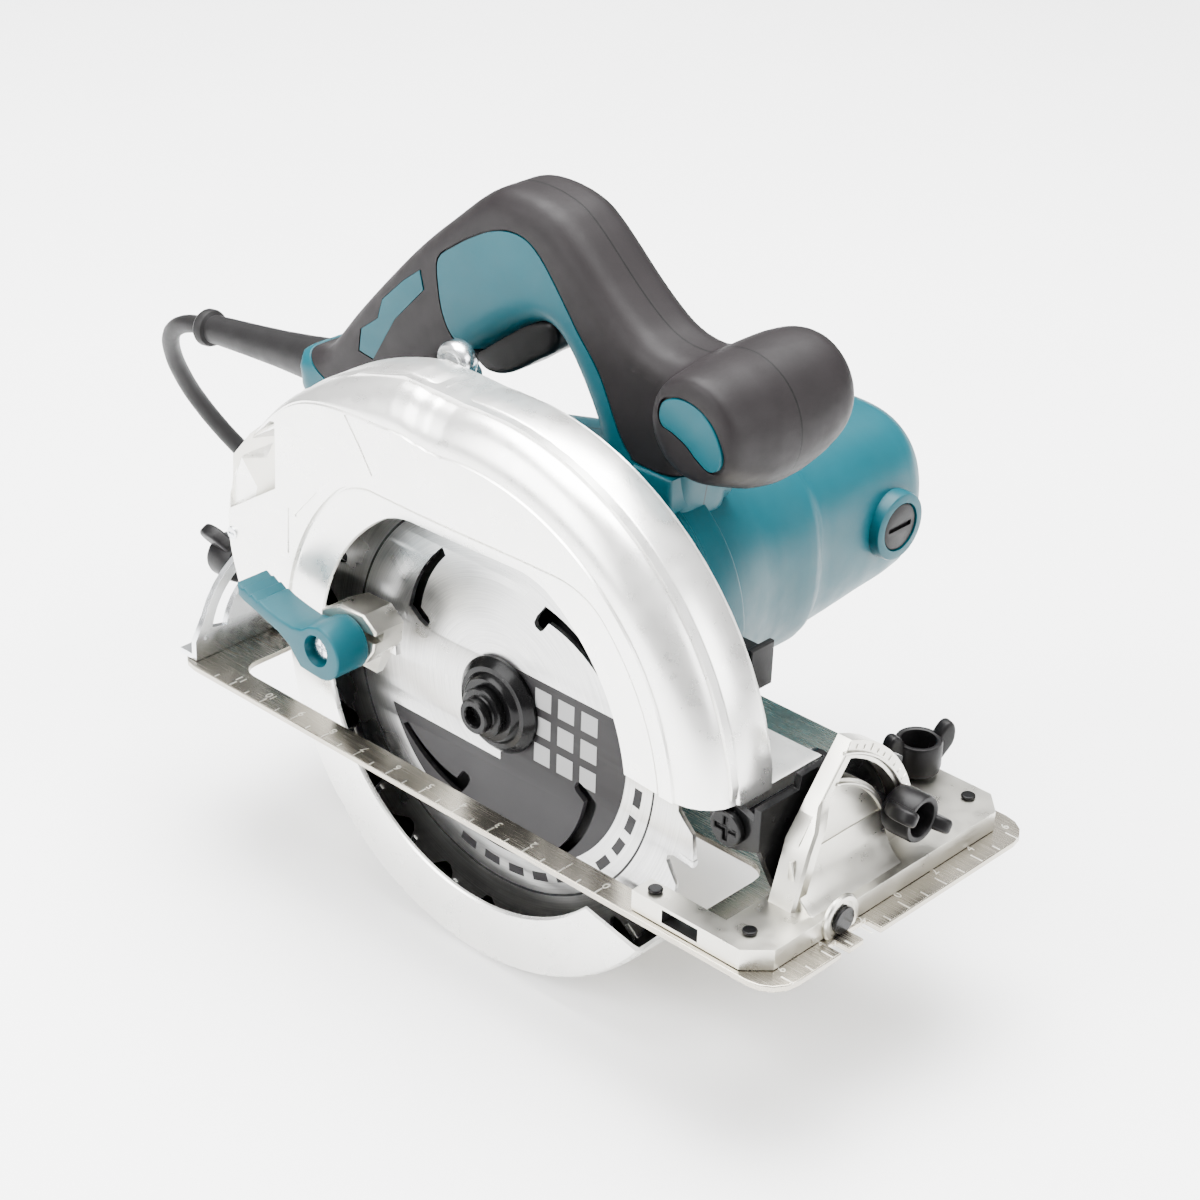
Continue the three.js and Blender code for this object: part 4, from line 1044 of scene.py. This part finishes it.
# ---- handle
HANDLE_SEAM = [
    (-157, 101), (-149, 103), (-140, 108), (-125, 126), (-107, 146), (-90, 163.5), (-73, 178.5),
    (-60, 189.5), (-50, 195), (-37, 196), (-24, 193.5), (-15, 188), (-6, 180.5), (2, 173.5),
    (11, 166.5), (20, 161), (30, 158.5), (44, 159),
]
HANDLE_LOW = [
    (50, 150), (40, 118), (37, 96), (-20, 90), (-44, 74), (-62, 66), (-120, 70), (-150, 78),
    (-157, 86),
]
FINGER_OPENING = [
    (-96, 105), (-84, 111), (-68, 124.5), (-45, 142.5), (-32, 150.5), (-24, 151.5), (-17, 147),
    (-9, 136.5), (-2, 124.5), (0, 118), (-6, 114.5), (-38, 107), (-60, 99), (-84, 97.5),
]
RUBBER_BORDER = [
    (-58, 129), (-68, 133), (-74, 140), (-77, 150), (-77.5, 162.5), (-69, 170), (-60, 176),
    (-51, 180.8), (-42, 183.2), (-34, 182.6), (-27, 178.5), (-19, 170), (-8, 156.5), (3, 144),
    (12, 127), (18, 119.5), (24, 117.5), (60, 117.5),
]
RUBBER_LOW = [(-160, 106), (-146, 99), (-128, 92), (-108, 88), (-90, 92), (-80, 96)]
INLAY_MIDDLE = (-102, 132)
INLAY_REACH = (-20, 62)
INLAY = [
    (-86.5, 155), (-84.5, 148), (-99.5, 132), (-111, 112.5), (-118.5, 113.5), (-117.5, 122.5),
    (-108.5, 129.5), (-106.5, 137.5), (-95, 148.5),
]


def grip_body():
    """Front grip: a round bar whose ends are smaller and set a little higher."""
    stations = [
        (-10.2, 56, 146, 13.5), (-9.9, 56, 146, 15.5), (-9, 56, 145.8, 17.2), (-7, 56, 145.4, 18.6),
        (-3, 55.8, 144.6, 19.8), (4, 55.4, 143.2, 21.4), (12, 55, 141.8, 23.2), (21, 54.4, 140.8, 24.2),
        (31, 54.6, 141.4, 24.2), (40, 55.4, 143, 23.2), (47, 56.4, 144.6, 21.4), (51, 57, 145.4, 19.2),
        (52.8, 57, 145.5, 16.8), (53.4, 57, 145.5, 13.5),
    ]
    turns = [360 * i / 72 for i in range(72)]
    sections = []
    for y, x, z, radius in stations:
        ring = [polar((x, z), radius, turn) for turn in turns]
        sections.append([(across, y, up) for across, up in ring])
    return loft("grip_body", sections)


def handle_solid():
    """Handle and front grip run together into one rounded body."""
    outline = catmull(HANDLE_SEAM, 4) + HANDLE_LOW
    opening = catmull(FINGER_OPENING, 3, True)
    width = (HANDLE_MIDDLE - HANDLE_HALF, HANDLE_MIDDLE + HANDLE_HALF)
    loop = plate("loop", "xz", outline, width, 9.0, [opening], 6)
    both = joined("handle_solid", loop, grip_body())
    return applied(
        "handle_solid", both, ("REMESH", {"mode": "VOXEL", "voxel_size": 1.3 * MM}),
        ("SMOOTH", {"factor": 0.5, "iterations": 9}),
    )


def rubber_region(gap):
    """Outline of all that rubber covers, moved outwards by a gap."""
    border = moved_sideways(catmull(RUBBER_BORDER, 4), gap)
    low = moved_sideways(catmull(RUBBER_LOW, 3), gap)
    opening = [(-86, 99), (-88, 106), (-76, 116)]
    return [(-200, 110), *low, *opening, *border, (120, 117.5 - gap), (120, 260), (-200, 260)]


def add_handle():
    """Rubber and teal skins side by side over a dark core that shows in the gap between them."""
    solid = handle_solid()
    middle_x, middle_z = INLAY_MIDDLE
    wide_inlay = [(x + (x - middle_x) * 0.045, z + (z - middle_z) * 0.03) for x, z in INLAY]
    strap = common(solid.copy(), prism("rubber_region", rubber_region(0.0)))
    strap = cut(strap, prism("inlay_gap", wide_inlay, INLAY_REACH))
    strap = cut(strap, prism("grip_inlay_gap", bean_outline(1.07), (-14, -8.6)))
    piece("grip_rubber", strap, "rubber", "saw_body", ("grip_overmould", "front_grip"), 40, 0.35, 2)
    core = cut(solid.copy(), prism("rubber_region", rubber_region(0.7)))
    room = [(30, -30), (50, -30), (50, 24), (40, 52), (36, 90), (30, 90)]
    core = cut(core, lathe("motor_room", room, MOTOR, 64))
    shells = ("handle_shell_left", "handle_shell_right")
    piece("handle_teal", core, "teal_handle", "saw_body", shells, 40, 0.3, 2)
    dark = applied("handle_core", solid.copy(), ("DISPLACE", {"strength": -1.1 * MM, "mid_level": 0.0}))
    piece("handle_core", dark, "black_plastic", "saw_body", (), 40)
    proud = common(solid, prism("inlay", INLAY, INLAY_REACH))
    piece("rear_inlay", proud, "teal_handle", "saw_body", (), 40, 0.3, 2)
    bean = plate("grip_inlay", "xz", bean_outline(1.0), (-10.4, -6), 0.5)
    piece("grip_inlay", bean, "teal", "saw_body", (), 40)


def bean_outline(scale):
    """Kidney shape on the grip's end face."""
    points = [
        (-13.6, 2), (-11.8, 7), (-5, 9.8), (3.5, 8.6), (10, 4), (13.6, -3), (13, -9), (9, -11.4), (3.6, -9),
        (-1.6, -5.4), (-7.5, -3), (-12, -1.8),
    ]
    return catmull([(56.5 + x * scale, 146 + z * scale) for x, z in points], 5, True)


def add_handle_parts():
    outline = [
        (-65, 131), (-66.5, 125), (-60, 121.5), (-50, 124), (-37, 133), (-27, 141), (-29, 151),
        (-44, 147), (-56, 139),
    ]
    width = (HANDLE_MIDDLE - 9, HANDLE_MIDDLE + 9)
    trigger = plate("trigger", "xz", catmull(outline, 5, True), width, 3.0)
    piece("trigger_look", trigger, "black_plastic", "trigger", ("trigger",), 40)
    refined("trigger_switch", "black_plastic", 0.8)
    refined("lock_off_button", "black_plastic", 0.8)
    refined("handle_screw_1", "black_steel", 0.3)
    refined("handle_screw_2", "black_steel", 0.3)
    ledge = [(20, 116.6), (38, 116.6), (38, 104.5), (34, 98), (24, 98)]
    block = plate("ledge", "xz", ledge, (2.8, 39.2), 1.6)
    piece("handle_ledge", block, "teal_handle", "saw_body", (), 40)


def add_cord_guard():
    """Tapered sleeve with a bead at its end, tilted down a little."""
    profile = [
        (0.5, -10), (9.6, -10), (9.4, 0), (8.6, 8), (7.4, 24), (6.5, 44), (5.9, 62), (5.8, 65.5),
        (7.2, 66.4), (7.6, 67.6), (7.6, 70), (7.0, 71), (4.2, 71.4), (3.9, 70),
    ]
    tilt = math.radians(6.5)
    sleeve = lathe("cord_guard", profile, (0, 0), 48)
    turned_to(sleeve, (-math.cos(tilt), 0, -math.sin(tilt)), (-158.2, HANDLE_MIDDLE, 90.8))
    piece("cord_guard_look", sleeve, "cord", "saw_body", ("cord_guard",), 30)


# ---- shoe and brackets
def text_mesh(text, size):
    curve = bpy.data.curves.new("text", "FONT")
    curve.body = text
    curve.size = size * MM
    curve.extrude = 0.09 * MM
    curve.align_x = "CENTER"
    holder = linked("text", curve)
    mesh = evaluated(holder, "text")
    bpy.data.objects.remove(holder)
    return mesh


def laid(mesh, x, y, z, turn):
    mesh.transform(Matrix.Translation(Vector((x, y, z)) * MM) @ Matrix.Rotation(math.radians(turn), 4, "Z"))
    return mesh


def scale_marks():
    """Ticks and generic numbers stamped along two edges of the shoe."""
    top = SHOE_TOP + 0.02
    parts = []
    for i in range(24):
        x = 76 - 8.5 * i
        long_tick = i % 2 == 0
        reach = 3.4 if long_tick else 2.2
        parts.append(box((x - 0.25, -69, top - 0.3), (x + 0.25, -69 + reach, top + 0.12)))
        if long_tick:
            parts.append(laid(text_mesh(str(i // 2), 4.6), x, -61.8, top, 180))
    for i in range(13):
        y = -60 + 10 * i
        reach = 5 if i % 2 == 0 else 3.2
        parts.append(box((154.6 - reach, y - 0.25, top - 0.3), (154.6, y + 0.25, top + 0.12)))
        if i % 2 == 0:
            parts.append(laid(text_mesh(str(abs(i - 6)), 4.6), 148.6, y + 3, top, 90))
    return joined("scale_marks", *parts)


# Faces under the front casting's shelf, which get painted shade.
def under_shelf(face):
    x, _, z = face.center / MM
    return 104 < x < 120.5 and 4 < z < 9.4 and abs(face.normal.y) < 0.5


def add_bevel_scale():
    """Two raised lips along the bevel slot, and the tick marks outside them."""
    for name, outside, inside in (("slot_lip_outer", 53.2, 51.9), ("slot_lip_inner", 42.3, 41.0)):
        lip = arc(BEVEL_PIVOT, outside, 14, 75, 20) + arc(BEVEL_PIVOT, inside, 75, 14, 20)
        piece(name, plate(name, "yz", lip, (131.4, 133), 0.5), "cast_shoe", "shoe")
    marks = []
    for i in range(13):
        turn = 15 + 4.8 * i
        reach = 56.4 if i % 3 == 0 else 55.4
        start, end = polar(BEVEL_PIVOT, 53.8, turn), polar(BEVEL_PIVOT, reach, turn)
        marks.append(rod(0.3, (132.1, *start), (132.1, *end), 8, 0.05))
    piece("bevel_marks", joined("bevel_marks", *marks), "mark", "shoe")


def quadrant_flange():
    """Raised edge of the quadrant, flush where the clamping bolt passes."""
    stations = [
        (-38.5, 6, 137), (-34.7, 18, 137), (-30.9, 30, 137), (-26.5, 36.2, 136), (-23.5, 40.2, 134),
        (-20.5, 44, 132.2), (-10, 57, 132.2),
    ]
    sections = []
    for y, z, proud in stations:
        section = [(126.4, y - 3), (proud - 1, y - 3), (proud, y - 2)]
        section += [(proud, y + 2), (proud - 1, y + 3), (126.4, y + 3)]
        sections.append([(*corner, z) for corner in section])
    return loft("quadrant_flange", sections)


def add_shoe():
    refined("shoe_plate", "shoe", 0.5, 3)
    piece("scale_marks", scale_marks(), "mark", "shoe")
    # Faces under the front casting's shelf get painted shade, the near-black casting.
    darkened(refined("front_casting", "cast_shoe", 1.5, 4, 30), under_shelf)
    add_bevel_scale()
    ring = [(6.2, 0), (8.2, 0), (8.8, 0.6), (8.8, 1.4), (8.2, 2), (6.6, 2), (6.2, 1.6)]
    ring = turned_to(lathe("pivot_ring", ring, (0, 0), 48), (1, 0, 0), (145.4, *BEVEL_PIVOT))
    piece("pivot_ring", ring, "cast_shoe", "shoe", (), 30)
    piece("quadrant_flange", quadrant_flange(), "cast_shoe", "shoe", (), 30)
    web = [(131, 10), (143.8, 10), (141, 11.2), (137.4, 14.5), (134.4, 20), (132.4, 27), (131, 27)]
    piece("quadrant_web", plate("quadrant_web", "xz", web, (-37, 10), 0.5), "cast_shoe", "shoe", (), 50)
    for row in BRACKETS:
        refined(*row, 3)


BRACKETS = [
    ("rear_bevel_plate", "zinc", 0.6), ("rivet_front_arm", "black_steel", 0.5),
    ("rivet_front_corner", "black_steel", 0.5), ("rivet_front_far", "black_steel", 0.5),
    ("rivet_rear", "black_steel", 0.5), ("front_bracket", "black_steel", 0.8),
    ("depth_guide", "zinc", 0.6), ("bevel_pin_rear", "zinc", 0.5), ("depth_clamp_bolt", "zinc", 0.5),
    ("bevel_pin_front", "black_steel", 0.5), ("depth_pivot_pin", "black_steel", 0.6),
    ("depth_lever", "black_plastic", 1.2),
]


def wing_bolt(name, node, body, low, axis, tilt):
    """Cup-shaped knob with two lobes that rise from its rim."""
    cup = [
        (2.4, -10), (2.6, 0), (7.2, 0), (8.2, 0.8), (8.6, 3), (8.6, 11.5), (8.2, 12.4), (7.2, 12.6),
        (6.4, 12.2), (6.1, 11), (6.1, 5), (1, 5),
    ]
    lobe = [(5.5, 2.5), (6.5, 11), (9.5, 16), (12.6, 16.6), (14.4, 13.5), (14, 8.5), (11, 4.5), (8.5, 2)]
    lobe = catmull(lobe, 5, True)
    wings = []
    for half_turn in (0, 180):
        wing = plate("wing", "xy", lobe, (-2.6, 2.6), 1.5)
        wing.transform(Matrix.Rotation(math.radians(half_turn), 4, "Y"))
        wings.append(wing)
    knob = joined(name, lathe("cup", cup, (0, 0), 56), *wings)
    knob.transform(Matrix.Rotation(math.radians(tilt), 4, "Y"))
    piece(name, turned_to(knob, axis, low), "black_plastic", body, (node,), 40)


def add_wing_bolts():
    front = (132.4, *polar(BEVEL_PIVOT, 47, 22))
    rear = (-135.4, *polar(BEVEL_PIVOT, 29, 116))
    wing_bolt("wing_bolt_front", "bevel_wing_bolt_front", "front_bevel_bolt", front, (1, 0, 0), -30)
    wing_bolt("wing_bolt_rear", "bevel_wing_bolt_rear", "rear_bevel_bolt", rear, (-1, 0, 0), 60)
    wing_bolt("wing_bolt_rule", "rule_wing_bolt", "rule_bolt", (111, 58, 12), (0, 0, 1), 73)


add_camera()
add_floor()
add_lights()
add_cord()
add_blade_case()
add_lower_guard()
add_blade()
add_motor()
add_handle()
add_handle_parts()
add_cord_guard()
add_shoe()
add_wing_bolts()
